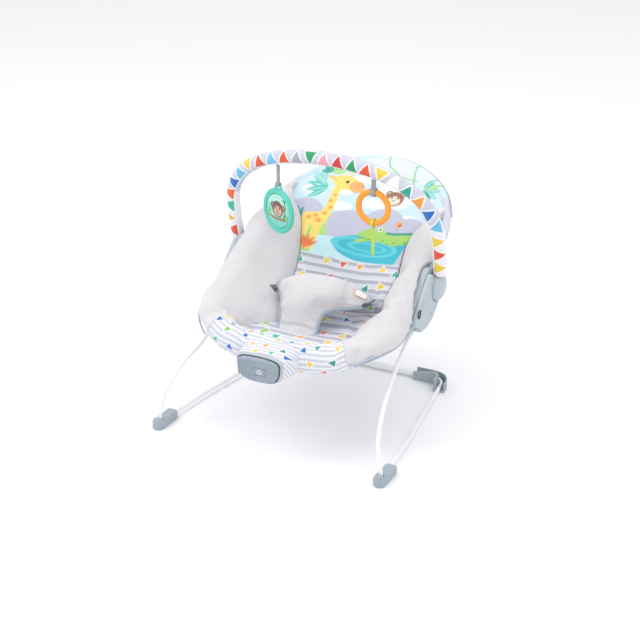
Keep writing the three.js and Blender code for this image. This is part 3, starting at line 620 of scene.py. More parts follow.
def smoothstep(low, high, value):
    t = np.clip((value - low) / (high - low), 0, 1)
    return t * t * (3 - 2 * t)


# The cloth is sewn on a little towards the right: how far each seam moves that way, and over which rows.
SEAM_SHIFT = {"left": 48, "right": 46}
LEFT_SHIFT_ROW, LEFT_SHIFT_SPREAD = 3.4, 1.3
RIGHT_SHIFT_ROWS = (3.0, 5.0, 6.6, 9.2)


def seam_at(v, side):
    """How far out the seam between pad and bolster lies."""
    seam = seat_row(v)[SEAM]
    if side < 0:
        return seam - SEAM_SHIFT["left"] * math.exp(-((v - LEFT_SHIFT_ROW) / LEFT_SHIFT_SPREAD) ** 2)
    begin, full, fade, end = RIGHT_SHIFT_ROWS
    return seam + SEAM_SHIFT["right"] * smoothstep(begin, full, v) * (1 - smoothstep(fade, end, v))


def edge_of(n, m):
    """The numbers of a grid's points that lie on its edge."""
    return [i * m + j for i in range(n) for j in range(m) if i in (0, n - 1) or j in (0, m - 1)]


def finish_soft(piece, node, draw=None):
    """The last steps of a stuffed piece: its print and the node that it stands for."""
    if draw:
        paint(piece, draw)
    stands_for(piece, node)


def quilt(name, top, low, flat, material):
    """A closed pad between two grids of points (rows, columns, 3) in datum millimetres; flat holds each
    point's place on the flat cloth. Returns the piece and the numbers of its edge and underside points."""
    n, m = top.shape[:2]
    points = np.array([at(*p) for p in np.concatenate([top.reshape(-1, 3), low.reshape(-1, 3)])])
    places = (np.asarray(flat, float) * MM).reshape(-1, 2)
    under = n * m
    faces = []
    for i in range(n - 1):
        for j in range(m - 1):
            a = i * m + j
            faces.append((a, a + 1, a + m + 1, a + m))
            faces.append((under + a, under + a + m, under + a + m + 1, under + a + 1))
        for j in (0, m - 1):
            a = i * m + j
            faces.append((a, a + m, under + a + m, under + a))
    for i in (0, n - 1):
        for j in range(m - 1):
            a = i * m + j
            faces.append((a, a + 1, under + a + 1, under + a))
    uv = [places[corner % under] for face in faces for corner in face]
    piece = new_piece(name, points, faces, material, uv)
    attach(piece, "seat")
    return piece, edge_of(n, m) + list(range(under, 2 * under))


def panel(name, rows, columns, reach, height, material, low=PAD_LOW):
    """A pad on the seat: reach(v, side) is how far it goes to each side and height(v, share) its top, whose
    share is 0 in the middle and 1 at the side."""
    shares = np.linspace(-1, 1, columns + 1)
    reaches = [[reach(v, -1), reach(v, 1)] for v in rows]
    widths = [(b - a) / 2 + (a + b) / 2 * shares for a, b in reaches]
    top = [[seat_point(v, x, height(v, abs(s))) for x, s in zip(xs, shares)] for v, xs in zip(rows, widths)]
    under = [[seat_point(v, x * 0.985, low) for x in xs] for v, xs in zip(rows, widths)]
    flat = [[(x, seat_length(v)) for x in xs] for v, xs in zip(rows, widths)]
    return quilt(name, np.array(top), np.array(under), flat, material)


def drape_over(piece, path, radius):
    """Pushes a piece's points out of a round tube along a path, as cloth stretched over it."""
    points = coordinates(piece.data)
    centres = path.at(np.linspace(0, 1, 500))
    for i, p in enumerate(points):
        gaps = centres - p
        near = np.argmin((gaps ** 2).sum(1))
        arm = p - centres[near]
        far = np.linalg.norm(arm)
        if far < radius:
            points[i] = centres[near] + arm / max(far, 1e-6) * radius
    set_coordinates(piece.data, points)


# ---------------------------------------------------------------- prints

class Print:
    """Colours laid one over another on places of a flat cloth, given in millimetres."""

    def __init__(self, s, t, ground, edge=0.9):
        self.s, self.t, self.edge = s, t, edge
        self.colours = np.tile(np.array(linear(ground)), (len(s), 1))

    def lay(self, outside, colour, strength=1.0):
        """outside is each place's distance out of a shape, less than 0 inside it."""
        share = np.clip(0.5 - outside / self.edge, 0, 1)[:, None] * strength
        self.colours = self.colours * (1 - share) + np.array(linear(colour)) * share

    def ellipse(self, centre, radii, turn=0.0):
        """The distance out of an ellipse."""
        c, s = math.cos(math.radians(turn)), math.sin(math.radians(turn))
        ds, dt = self.s - centre[0], self.t - centre[1]
        u, v = (ds * c + dt * s) / radii[0], (dt * c - ds * s) / radii[1]
        return (np.sqrt(u * u + v * v) - 1) * min(radii)

    def stretch(self, a, b):
        """The distance from the stretch between two points, and the nearest place on it, from 0 to 1."""
        d = b - a
        t = np.clip(((self.s - a[0]) * d[0] + (self.t - a[1]) * d[1]) / max(d @ d, 1e-9), 0, 1)
        return np.hypot(self.s - a[0] - t * d[0], self.t - a[1] - t * d[1]), t

    def line(self, points, width):
        """The distance out of a rounded stroke; width may be one number for each point."""
        best = np.full(len(self.s), 1e9)
        points = np.array(points, float)
        widths = np.broadcast_to(np.asarray(width, float), (len(points),))
        for a, b, wa, wb in zip(points, points[1:], widths, widths[1:]):
            gap, t = self.stretch(a, b)
            best = np.minimum(best, gap - (wa + (wb - wa) * t) / 2)
        return best

    def oval(self, centre, radii, colour, turn=0.0):
        self.lay(self.ellipse(centre, radii, turn), colour)

    def stroke(self, points, width, colour):
        self.lay(self.line(points, width), colour)

    def shape(self, corners):
        """The distance out of a closed outline."""
        corners = np.array(corners, float)
        best = np.full(len(self.s), 1e9)
        inside = np.zeros(len(self.s), bool)
        for a, b in zip(corners, np.roll(corners, -1, 0)):
            best = np.minimum(best, self.stretch(a, b)[0])
            if a[1] != b[1]:
                crosses = (a[1] > self.t) != (b[1] > self.t)
                inside ^= crosses & (self.s < a[0] + (self.t - a[1]) * (b[0] - a[0]) / (b[1] - a[1]))
        return np.where(inside, -best, best)

    def leaf(self, root, length, width, turn, colour, vein):
        """A pointed leaf that grows from its root."""
        a = math.radians(turn)
        u = ((self.s - root[0]) * math.cos(a) + (self.t - root[1]) * math.sin(a)) / length
        v = (self.t - root[1]) * math.cos(a) - (self.s - root[0]) * math.sin(a)
        wide = width / 2 * np.sin(np.pi * np.clip(u, 0, 1)) ** 0.8
        out = np.where((u < 0) | (u > 1), 9.0, np.abs(v) - wide)
        self.lay(out, colour)
        tip = (root[0] + math.cos(a) * length * 0.85, root[1] + math.sin(a) * length * 0.85)
        self.stroke([root, tip], 1.1, vein)


def paint(piece, draw):
    """Colours a mesh from its places on the flat cloth: draw(s, t) gives the colours, in millimetres."""
    mesh = piece.data
    uv = np.empty(len(mesh.loops) * 2, np.float32)
    mesh.uv_layers["flat"].data.foreach_get("uv", uv)
    uv = uv.reshape(-1, 2).astype(float) / MM
    colours = draw(uv[:, 0], uv[:, 1])
    layer = mesh.color_attributes.new("print", "FLOAT_COLOR", "CORNER")
    values = np.concatenate([colours, np.ones((len(colours), 1))], axis=1).astype(np.float32)
    layer.data.foreach_set("color", values.ravel())


BRIGHTS = ("1f6fc4", "f0a24c", "3fbfa8", "e8593a", "f2d04b", "8cc653", "1d9a8e", "f4846c")
# The width of the white edge round each triangle.
HALO = 1.6


def lay_stripes(cloth_print, pitch, pale, dark, shade, wave):
    """Soft uneven stripes across the cloth: in each pitch a wide dark band and a narrow faint one."""
    t = cloth_print.t + wave * np.sin(cloth_print.s / 23.0) + wave * 0.6 * np.sin(cloth_print.s / 9.0 + 1.3)
    place = (t / pitch) % 1.0 * pitch
    sharp, cloth_print.edge = cloth_print.edge, pitch * 0.13
    cloth_print.lay(np.abs(place - pitch * 0.32) - pitch * 0.25, dark)
    cloth_print.lay(np.abs(place - pitch * 0.38) - pitch * 0.09, shade, 0.8)
    cloth_print.lay(np.abs(place - pitch * 0.80) - pitch * 0.07, dark, 0.55)
    cloth_print.lay(np.abs(place - pitch * 0.66) - pitch * 0.04, pale)
    cloth_print.edge = sharp


def lay_triangles(cloth_print, spacing, size, seed):
    """Small triangles of bright cloth colours, scattered over the cloth, each in a white edge."""
    draw = random.Random(seed)
    s_low, s_high = cloth_print.s.min(), cloth_print.s.max()
    row, t, last = 0, cloth_print.t.min() + spacing * 0.4, None
    while t < cloth_print.t.max():
        s = s_low + spacing * (0.3 + 0.5 * (row % 2))
        while s < s_high:
            x = s + draw.uniform(-0.2, 0.2) * spacing
            y = t + draw.uniform(-0.2, 0.2) * spacing
            colour = draw.choice([c for c in BRIGHTS if c != last])
            last = colour
            turn = draw.choice((90, 0, 180, 90, 270)) + draw.uniform(-14, 14)
            corners = [(x + size * math.cos(a), y + size * math.sin(a))
                       for a in (math.radians(turn + k) for k in (0, 120, 240))]
            near = np.maximum(np.abs(cloth_print.s - x), np.abs(cloth_print.t - y)) < 2.2 * size
            if near.any():
                part = Print(cloth_print.s[near], cloth_print.t[near], "ffffff", cloth_print.edge)
                part.colours = cloth_print.colours[near]
                out = part.shape(corners)
                part.lay(out - HALO, "f6f7fa")
                part.lay(out, colour)
                cloth_print.colours[near] = part.colours
            s += spacing
        t += spacing * 0.8
        row += 1


def striped(s, t, ground, stripes, triangles):
    cloth_print = Print(s, t, ground)
    lay_stripes(cloth_print, *stripes)
    lay_triangles(cloth_print, *triangles)
    return cloth_print.colours


def fine_stripes(s, t):
    return striped(s, t, "f0f1f7", (9.5, "f8f8fc", "d3d5e1", "bfc1cf", 1.6), (32, 7.6, 7))


def broad_stripes(s, t):
    return striped(s, t, "e4e7f0", (18, "eff1f7", "babdcb", "aaadbd", 0.7), (42, 9.4, 21))


# Where the picture on the back begins, along the cloth.
PICTURE = 103.0


def back_picture(s, t):
    picture = Print(s, t, "cde5f2")
    for draw in (draw_sky, draw_hills, draw_pond, draw_crocodile, draw_giraffe, draw_leaves, draw_vines):
        draw(picture)
    draw_face(picture, (52, 262), BEAR)
    share = smoothstep(PICTURE - 0.6, PICTURE + 0.6, t)[:, None]
    return broad_stripes(s, t) * (1 - share) + picture.colours * share


def draw_sky(p):
    for centre, radii in (((-118, 250), (26, 12)), ((-62, 262), (22, 10)), ((-52, 225), (24, 12)),
                          ((18, 243), (40, 13)), ((58, 252), (30, 16)), ((96, 214), (26, 12)),
                          ((40, 282), (28, 12)), ((104, 268), (30, 14)), ((0, 300), (50, 12))):
        p.oval(centre, radii, "eef6fb")
    p.oval((70, 345), (110, 42), "dfe6ee")


def draw_hills(p):
    for centre, radii in (((-118, 182), (46, 46)), ((-16, 176), (62, 44)), ((52, 176), (52, 62)),
                          ((108, 172), (48, 48))):
        p.oval(centre, radii, "c3c5d8")
    p.oval((-128, 176), (34, 12), "6fbcd2", -8)
    p.oval((-88, 128), (38, 62), "b7dc8a")
    p.oval((0, 108), (240, 42), "c9edf3")
    p.oval((-96, 118), (26, 40), "a9d67c")


def draw_pond(p):
    """Water with four ripples, and the grey bank at its right."""
    water, ripple = "38bcd0", "5fd0de"
    p.oval((64, 134), (96, 34), water, -3)
    for k, radii in enumerate(((74, 22), (60, 16), (44, 11), (34, 7.5))):
        p.oval((34 + k * 3, 138), radii, water if k % 2 else ripple, -3)
    p.lay(p.shape([(112, 100), (118, 150), (126, 190), (148, 232), (230, 240), (230, 100)]), "c8cad8")


def draw_crocodile(p):
    """A long green swimming reptile with a row of back scales."""
    green = "a5d56b"
    body = [(12, 150), (40, 166), (64, 168), (88, 162), (112, 168), (128, 178)]
    p.stroke(body, [7, 22, 26, 28, 24, 16], green)
    p.stroke([(14, 168), (34, 176)], [11, 18], green)
    p.stroke([(14, 160), (34, 158), (46, 162)], 1.8, "4f8f4a")
    for k in range(9):
        p.oval((70 + k * 6.2, 178 + 0.165 * (k - 2) ** 2), (3.4, 3.4), "2f9c86")
    p.oval((52, 184), (9, 8), green)
    p.oval((52, 185), (5.0, 5.0), "f6fbf2")
    p.oval((52, 185), (2.8, 2.8), EYE)
    for place in ((66, 158), (78, 152), (92, 156), (104, 150), (114, 160)):
        p.oval(place, (2.8, 2.2), "6fb34f")


def draw_giraffe(p):
    """A yellow long-necked animal with orange spots."""
    yellow, orange = "f7dc74", "f3a95a"
    p.stroke([(-104, 178), (-80, 186)], [34, 30], yellow)
    for s in (-110, -100, -84, -76):
        p.stroke([(s, 172), (s + 3, 112)], [11, 8], yellow)
    p.stroke([(-78, 186), (-72, 214), (-74, 262)], [24, 18, 15], yellow)
    p.oval((-62, 282), (27, 18), yellow, -6)
    p.oval((-36, 276), (17, 14), "f7b070", -16)
    for s, t, r in ((-104, 182, 6), (-92, 190, 5), (-82, 180, 6.5), (-76, 200, 5), (-70, 216, 4.6),
                    (-76, 232, 4.4), (-72, 248, 4)):
        p.oval((s, t), (r, r * 0.9), orange)
    p.oval((-60, 284), (3.6, 3.6), EYE)
    draw_ear(p, (-84, 284), 20, 9, 160, "f0c95c")
    for s in (-68, -58):
        p.stroke([(s, 298), (s + 2, 312)], 3, yellow)
        p.oval((s + 2, 313), (3.4, 3.4), orange)
    p.oval((-26, 280), (1.6, 2.4), "c07a3e")


def draw_ear(p, root, length, width, turn, colour):
    """A stroke that is widest in its middle."""
    a = math.radians(turn)
    tip = (root[0] + math.cos(a) * length, root[1] + math.sin(a) * length)
    middle = ((root[0] + tip[0]) / 2, (root[1] + tip[1]) / 2)
    p.stroke([root, middle, tip], [width * 0.5, width, width * 0.3], colour)


def draw_leaves(p):
    for root, length, width, turns, colour, vein in (
            ((-92, 262), 46, 13, (150, 175, 200, 225), "63c8bd", "e4f6f4"),
            ((-104, 270), 40, 14, (110, 140), "8fd7cf", "e4f6f4"),
            ((-100, 300), 30, 13, (40, 75, 20), "a8d884", "dff0cf"),
            ((-96, 304), 26, 12, (150, 190), "25a187", "8ed6c4"),
            ((-134, 172), 34, 11, (70, 95, 120), "1f9a8c", "7fd0c2"),
            ((-90, 110), 34, 8, (40, 62, 84, 106), "ee6a35", "f9b48a")):
        for turn in turns:
            p.leaf(root, length, width, turn, colour, vein)


def draw_vines(p):
    """A small flower, two hanging vines and a fan of leaves, on the picture's right."""
    p.oval((86, 202), (7, 7), "f3a95a")
    p.oval((89, 200), (3.2, 3.6), "d8452c")
    p.stroke([(86, 194), (88, 180)], 1.4, "8c93a4")
    p.stroke([(-2, 372), (12, 340), (44, 318), (84, 312)], 3, "8fcf90")
    p.stroke([(66, 372), (72, 330), (80, 300)], 3.6, "8fcf90")
    for turn, colour in ((10, "8ccfd6"), (35, "a8d884"), (65, "63c8bd"), (-25, "8ccfd6"), (-50, "25a187")):
        p.leaf((104, 292), 40, 14, turn, colour, "eef8f6")


# Plain round animal faces: how far out and up each ear and eye lies, the radii, and the colours.
EYE = "20242a"
BEAR = {"ear": (15, 12), "outer": (7, 7), "inner": (4, 4), "inner_colour": "e7c3ab", "head": (20, 18),
        "fur": "9a6a55", "muzzle": (14, 11), "muzzle_up": -4, "muzzle_colour": "f0ddcd", "eye": (6.5, 2.5),
        "eye_radii": (2.2, 2.2), "eye_colour": EYE, "nose": (2.4, 1.6), "nose_colour": "6b4436"}
TOY_FACE = {"ear": (15, 5), "outer": (6.6, 6.6), "inner": (3.6, 3.6), "inner_colour": "d9a78c",
            "head": (17, 16), "fur": "6a4638", "muzzle": (12, 10), "muzzle_up": -4, "muzzle_colour": "d9a78c",
            "eye": (5.2, 1.4), "eye_radii": (2.0, 2.3), "eye_colour": "25211f", "nose": (2.2, 1.5),
            "nose_colour": "4a3026"}


def draw_face(p, centre, face):
    s, t = centre
    for side, _ in SIDES:
        ear = (s + side * face["ear"][0], t + face["ear"][1])
        p.oval(ear, face["outer"], face["fur"])
        p.oval(ear, face["inner"], face["inner_colour"])
    p.oval((s, t), face["head"], face["fur"])
    p.oval((s, t + face["muzzle_up"]), face["muzzle"], face["muzzle_colour"])
    for side, _ in SIDES:
        p.oval((s + side * face["eye"][0], t + face["eye"][1]), face["eye_radii"], face["eye_colour"])
    p.oval((s, t + face["muzzle_up"]), face["nose"], face["nose_colour"])


# ---------------------------------------------------------------- floor frame and seat frame

# The middle lines of the right half's rods, and the rear bar.
BASE_ROD = [(235, 9, 9), (229, 70, 9), (219, 167, 9), (207, 245, 9), (196, 320, 9), (187, 383, 9),
            (183, 404, 9), (173, 417, 9), (158, 421, 9), (140, 421, 9), (88, 421, 9)]
LEG_ROD = [(235, 0, 10), (234, 1, 30), (224, 10, 76), (213, 53, 117), (201, 113, 145), (198, 177, 190),
           (198, 229, 216), (198, 252, 238)]
ROD = 4.0
REAR_BAR = {"y": 421, "z": 9, "half": 118, "radius": 7}
PIVOT = (292, 272)


def dress_cad():
    """CAD pieces that no finer piece stands for keep their own shape, in their own finish."""
    for name, node in frame["nodes"].items():
        node.data.materials.clear()
        node.data.materials.append(MATERIALS[SLOT_OF[name]])


def make_floor_frame():
    for side, name in SIDES:
        rod = tube(f"{name}_floor_wire", Path(mirrored(BASE_ROD, side)), ROD * MM, "rod_paint", "base", 120)
        stands_for(rod, f"{name}_base_rod")
        leg = tube(f"{name}_leg_wire", Path(mirrored(LEG_ROD, side)), ROD * MM, "rod_paint", "seat", 120)
        stands_for(leg, f"{name}_leg_rod")
        softened(f"{name}_front_foot", 0.6)
        softened(f"{name}_rear_foot", 0.6)
    y, z, half = REAR_BAR["y"], REAR_BAR["z"], REAR_BAR["half"]
    line = Path([(-half, y, z), (0, y, z), (half, y, z)])
    bar = tube("rear_bar", line, REAR_BAR["radius"] * MM, "rod_paint", "base", 20, 32)
    stands_for(bar, "rear_cross_tube")


# The dome at each end of the toy bar: its radius at each distance outwards from SOCKET_X.
SOCKET_PROFILE = [(0, 26.6), (0.3, 27.6), (1, 28), (8.6, 28), (10.6, 27.7), (12.6, 27), (14.6, 25.8),
                  (16.6, 23.8), (18.4, 21), (19.9, 17.4), (21.1, 13), (21.9, 8.4), (22.4, 4), (22.5, 0.6)]
SOCKET_X = 204.4
# How far out the painted shade in the right hub's clip groove lies.
HUB_SHADE_X = 214.9


def make_hubs():
    for side, name in SIDES:
        softened(f"{name}_hub_inner", 0.8)
        softened(f"{name}_hub_cover", 0.6, 5)
        centre = at(side * SOCKET_X, *PIVOT)
        profile = [(h * MM, r * MM) for h, r in SOCKET_PROFILE]
        dome = lathe(f"{name}_pivot_dome", profile, centre, (side, 0, 0), "grey_plastic", "toy_bar")
        stands_for(dome, f"{name}_bar_socket")


def make_hub_groove_shade():
    """A thin dark U-shaped tube on the right hub: painted shade in its clip groove; the left hub has none."""
    line = [(HUB_SHADE_X, y, z) for y, z in ((200, 257), (198.4, 246), (203, 241), (207.6, 246), (209, 256))]
    # Painted shade: a dark tube where the clip groove lies in shade.
    hub_shade_tube = tube("right_hub_groove_shade", Path(line), 1.3 * MM, "painted_gap_shade", "seat", 30, 10, first=(1, 0, 0))


# ---------------------------------------------------------------- seat cloth

def cloth_reach(v, side):
    return seat_row(v)[HALF]


def cloth_top(v, share):
    return CLOTH_HALF


def make_slings():
    for part, rows in (("seat", np.linspace(0, 4.98, 34)), ("back", np.linspace(5.02, LAST_ROW - 1, 50))):
        sling, _ = panel(f"{part}_sling_cloth", rows, 24, cloth_reach, cloth_top, "outer_cloth", -CLOTH_HALF)
        stands_for(sling, f"{part}_sling")
        subdivide(sling, 1)
    for part, path, span in (("front", FRONT_RIM, (0.075, 0.925)), ("back", BACK_RIM, (0.02, 0.98))):
        sleeve = tube(f"{part}_rim_sleeve", path, SLEEVE * MM, "outer_cloth", "seat", 160, 20, span)


# The seat's front part is printed with longer stripes, from here to the front.
LONG_FROM = -40.0
LONG = 1.75


def seat_print(s, t):
    return broad_stripes(s, np.where(t < LONG_FROM, LONG_FROM + (t - LONG_FROM) / LONG, t))


def crease_at(v):
    """The pads are thinner where the seat folds."""
    return 1 - 0.55 * math.exp(-((v - FOLD_ROW) / 0.28) ** 2)


def seat_height(v, share):
    belly = 2.0 * (1 - share ** 2)
    edge = 1 - 0.45 * share ** 8
    return (PAD_HIGH + belly) * crease_at(v) * edge


def seat_reach(v, side):
    return seat_row(v)[SEAM] if side < 0 else seam_at(v, side)


def make_seat_pad():
    rows = np.linspace(0.4, 4.97, 40)
    piece, held = panel("seat_quilt", rows, 34, seat_reach, seat_height, "striped_cloth")
    simulate(piece, held, 12, 0.04, 5 * MM)
    subdivide(piece, 2)
    finish_soft(piece, "seat_pad", seat_print)


# Between these rows the bolsters end, and above them the back pad reaches out to the frame tube.
HEAD_FROM, HEAD_FULL = 9.2, 10.3
RIM_HEIGHT = 9.6


def back_reach(v, side):
    seam = seat_reach(v, side)
    return seam + (seat_row(v)[HALF] - seam) * smoothstep(HEAD_FROM, HEAD_FULL, v)


def back_height(v, share):
    belly = 3.0 * (1 - share ** 2) * smoothstep(5, 7, v)
    head = smoothstep(HEAD_FROM, HEAD_FULL, v)
    rim = head * share ** 6 + (1 - head) * 0.5 * share ** 8
    rim = max(rim, smoothstep(LAST_ROW - 1.0, LAST_ROW, v))
    return (PAD_HIGH + belly) * crease_at(v) * (1 - rim) + RIM_HEIGHT * rim


# How far the print's cloth lies outside the sleeve that it wraps.
RIM_CLOTH = 1.0


def make_back_pad():
    rows = np.concatenate([np.linspace(5.03, LAST_ROW - 1, 54), np.linspace(LAST_ROW - 0.8, LAST_ROW, 4)])
    piece, held = panel("back_quilt", rows, 44, back_reach, back_height, "printed_cloth")
    simulate(piece, held, 12, 0.04, 5 * MM)
    subdivide(piece, 2)
    drape_over(piece, BACK_RIM, (SLEEVE + RIM_CLOTH) * MM)
    finish_soft(piece, "back_pad", back_picture)


def rim_places(path, us, sides):
    """Places on the flat cloth for a tube of cloth that wraps the head's rim."""
    vs = np.linspace(8, LAST_ROW, 240)
    edges = np.array([at(*seat_row(v)[2:5]) for v in vs])
    lengths = np.array([seat_length(v) for v in vs])
    flat = []
    for p in path.at(us):
        near = np.argmin(np.linalg.norm(edges[:, 1:] - p[1:], axis=1))
        flat.append([(p[0] / MM, lengths[near])] * (sides + 1))
    return np.array(flat) * MM


# The stretch of the tube that the print wraps at the head, and how far its cloth sinks in at both ends.
HEAD_SPAN = (0.235, 0.765)
HEAD_FADE = 0.05
HEAD_SINK = 1.6


def make_head_rim():
    """The print wraps over the tube at the head, where the piping runs."""
    us = np.linspace(*HEAD_SPAN, 150)
    sides = 20
    ends = 1 - smoothstep(0.0, HEAD_FADE, us - us[0]) * smoothstep(0.0, HEAD_FADE, us[-1] - us)
    grid = rings(BACK_RIM, us, (SLEEVE + RIM_CLOTH - HEAD_SINK * ends) * MM, sides)
    rim = skin("head_rim_cloth", grid, "printed_cloth", "seat", rim_places(BACK_RIM, us, sides))
    paint(rim, back_picture)


# ---------------------------------------------------------------- side bolsters and front lip

# The middle line of the right bolster's roll, from the front up to the head.
ROLL = [(128, 64.5, 203.5), (134, 68, 205), (150, 88, 211), (162, 122, 219), (166, 172, 236), (167, 220, 259),
        (166, 266, 285), (163, 301, 308), (160, 342, 334), (160, 376, 353), (163, 410, 365), (164, 436, 372)]
ROLL_RADIUS = 28.5
# The two bolsters are stuffed unequally: how much thicker and how much further out each one lies, where along
# it the taper begins, and the radius that both taper to.
ROLL_FULL = {-1: 8.0, 1: 0.5}
ROLL_OUT = {-1: 8.0, 1: 15.0}
TAPER = {-1: 0.62, 1: 0.53}
ROLL_END = 7.5


def roll_radius(side, u):
    fade = np.clip((u - TAPER[side]) / (1 - TAPER[side]), 0, 1)
    full = ROLL_RADIUS + ROLL_FULL[side] * smoothstep(0.0, 0.22, u)
    return full - (full - ROLL_END) * fade ** 1.3


def unit(v):
    return v / np.linalg.norm(v)


def row_beside(point):
    """The seat's row that passes a point of a bolster."""
    vs = np.linspace(0.5, 11.0, 320)
    x = abs(point[0]) / MM
    gaps = [np.linalg.norm(at(*seat_point(v, x, 30))[1:] - point[1:]) for v in vs]
    return vs[int(np.argmin(gaps))]


def roll_frame(side, path, u):
    """The middle of a bolster's roll with its outward and upward directions."""
    centre, ahead = path.at(u), path.along(u)
    normal = seat_normal(row_beside(centre))
    out = unit(np.cross(ahead, normal))
    out = out * side * np.sign(out[0])
    up = unit(np.cross(out, ahead))
    up = up * np.sign(up @ normal)
    shift = ROLL_OUT[side] * MM * smoothstep(0.0, 0.2, u) * (1 - smoothstep(0.72, 0.95, u))
    return centre + out * shift, out, up


# The toy bar swings back beside the bolsters, so above the hubs they are pressed nearly all the way in to
# this half width. The pressing grows from the first of these heights (in metres) to the second.
BAR_ROOM = 200.0
BAR_ROOM_FROM, BAR_ROOM_FULL = 0.268, 0.298


def inside_bar(points):
    """Presses a bolster's points in to where the toy bar's legs can pass them."""
    points = np.array(points)
    over = np.maximum(np.abs(points[:, 0]) - BAR_ROOM * MM, 0)
    share = 0.9 * smoothstep(BAR_ROOM_FROM, BAR_ROOM_FULL, points[:, 2])
    points[:, 0] -= np.sign(points[:, 0]) * over * share
    return points


# Where a bolster is felt for the hub beside it: the distance to each side in millimetres, and how much of the
# way a hub there presses it in.
HUB_FEEL = ((0, 1.0), (4, 0.85), (8, 0.45))
HUB_GAP = 1.0


def clear_of_hub(points, side, gap=HUB_GAP):
    """Presses a bolster's points in to the inner face of the hub that they lie against."""
    shell = frame["nodes"][f"{dict(SIDES)[side]}_hub_inner"].data
    tree = BVHTree.FromPolygons([v.co for v in shell.vertices], [f.vertices[:] for f in shell.polygons])
    face = min(abs(v.co.x) for v in shell.vertices) - gap * MM
    points = np.array(points)
    for i in np.nonzero(np.abs(points[:, 0]) > face)[0]:
        share = 0.0
        for reach, strength in HUB_FEEL:
            for turn in np.radians(range(0, 360, 45)):
                y = points[i, 1] + reach * MM * math.cos(turn)
                z = points[i, 2] + reach * MM * math.sin(turn)
                if strength > share and tree.ray_cast(Vector((side * 0.1, y, z)), Vector((side, 0, 0)))[0]:
                    share = strength
        points[i, 0] -= side * (abs(points[i, 0]) - face) * share
    return points


# The roll's arc runs from its crest round its outer side to its heel, in degrees up from outward. Then come
# the underside, as far as the seam, and the inner face.
CREST, HEEL = 135, -98
WING_COLUMNS = {"arc": 17, "under": 4, "face": 5}
FACE_BULGE = 3.5


def wing_ring(side, path, u):
    """One cross-section of a bolster: round the roll, under it to the seam, and up its inner face."""
    v = row_beside(path.at(u))
    normal = seat_normal(v)
    centre, out, up = roll_frame(side, path, u)
    radius = roll_radius(side, u) * MM
    ring = []
    for a in np.radians(np.linspace(CREST, HEEL, WING_COLUMNS["arc"])):
        ring.append(centre + radius * (math.cos(a) * out + math.sin(a) * up))
    # No two sections share a seam point, which would keep the cloth from moving.
    row = max(v, 0.9 + 0.6 * u)
    seam = seam_at(row, side)
    # Where the seam lies further in than the CAD's, the bolster lies over the pad.
    over = np.clip((seat_row(row)[SEAM] - seam) / 12, 0, 1)
    seam_low = at(*seat_point(row, side * seam, PAD_LOW + (PAD_HIGH - 2 - PAD_LOW) * over))
    seam_top = at(*seat_point(row, side * seam, PAD_HIGH * 0.66 + (PAD_HIGH * 0.34 + 3) * over))
    # The bolster's upper end runs into the sleeve round the frame tube.
    closing = 0.5 * smoothstep(0.86, 1.0, u)
    seam_low = seam_low + (centre - seam_low) * closing
    seam_top = seam_top + (centre - seam_top) * closing
    heel, crest = ring[-1], ring[0]
    ring += [heel + (seam_low - heel) * t for t in np.linspace(0, 1, WING_COLUMNS["under"] + 1)[1:]]
    ring.append(seam_top)
    for t in np.linspace(0, 1, WING_COLUMNS["face"] + 1)[1:-1]:
        bulge = FACE_BULGE * MM * math.sin(math.pi * t ** 0.7)
        ring.append(seam_top + (crest - seam_top) * t + normal * bulge)
    return np.array([above_cloth(p, v, side) for p in ring])


def above_cloth(point, v, side):
    """Lifts a bolster's point off the sling's cloth that it lies on."""
    x = min(abs(point[0]) / MM, seat_row(v)[HALF])
    normal = seat_normal(v)
    height = (point - at(*seat_point(v, side * x, 0))) @ normal
    return point + normal * max(PAD_LOW * MM - height, 0)


def make_wing(side, name):
    path = Path(mirrored(ROLL, side))
    us = np.linspace(0, 1, 62)
    grid = np.array([wing_ring(side, path, u) for u in us])
    n, m = grid.shape[:2]
    steps = np.linalg.norm(grid - np.roll(grid, -1, axis=1), axis=2)
    around = np.concatenate([np.zeros((n, 1)), np.cumsum(steps, axis=1)], axis=1)
    flat = np.stack([around, np.broadcast_to((us * path.length)[:, None], around.shape)], -1)
    grid = wander(grid.reshape(-1, 3), 22, 1.1 * MM, side * 3.0).reshape(grid.shape)
    piece = skin(f"{name}_bolster", grid, "plush", "seat", flat)
    arc, under = WING_COLUMNS["arc"], WING_COLUMNS["under"]
    held = [i * m + j for i in range(n) for j in range(m)
            if i in (0, n - 1) or arc - 3 <= j <= arc + under]
    simulate(piece, held, 12, 0.07, 6 * MM)
    set_coordinates(piece.data, clear_of_hub(inside_bar(coordinates(piece.data)), side))
    subdivide(piece, 2)
    set_coordinates(piece.data, clear_of_hub(coordinates(piece.data), side))
    finish_soft(piece, f"{name}_wing")


# The middle line of the right half of the front lip.
LIP = [(140, 70, 206), (100, 57, 196), (60, 53, 190), (0, 51, 186)]
LIP_RADIUS = 27.5


def make_lip():
    path = Path(both_sides(LIP))
    us = np.linspace(0.012, 0.988, 56)
    sides = 30
    grid = rings(path, us, LIP_RADIUS * MM, sides)
    around = np.linspace(0, 2 * math.pi * LIP_RADIUS * MM, sides + 1)
    flat = [[(u * path.length, a) for a in around] for u in us]
    piece = skin("front_lip_roll", grid, "striped_cloth", "seat", np.array(flat))
    n = len(us)
    low = [i * sides + j for i in range(n) for j in range(sides)
           if i in (0, n - 1) or sides * 0.38 <= j <= sides * 0.62]
    simulate(piece, low, 40, 0.08, 5 * MM)
    subdivide(piece, 2)
    finish_soft(piece, "front_lip", fine_stripes)


# The piping's radius, how far its middle lies outside the piece that it edges and how far round the roll; and a
# point inside the head with the cloth's upward direction there, in the part's frame.
CORD = 1.9
CORD_OUT = 1.6
CORD_ANGLE = math.radians(-14)
HEAD_MIDDLE = (0, 0.160, 0.36)
HEAD_UP = (0, -0.55, 0.83)


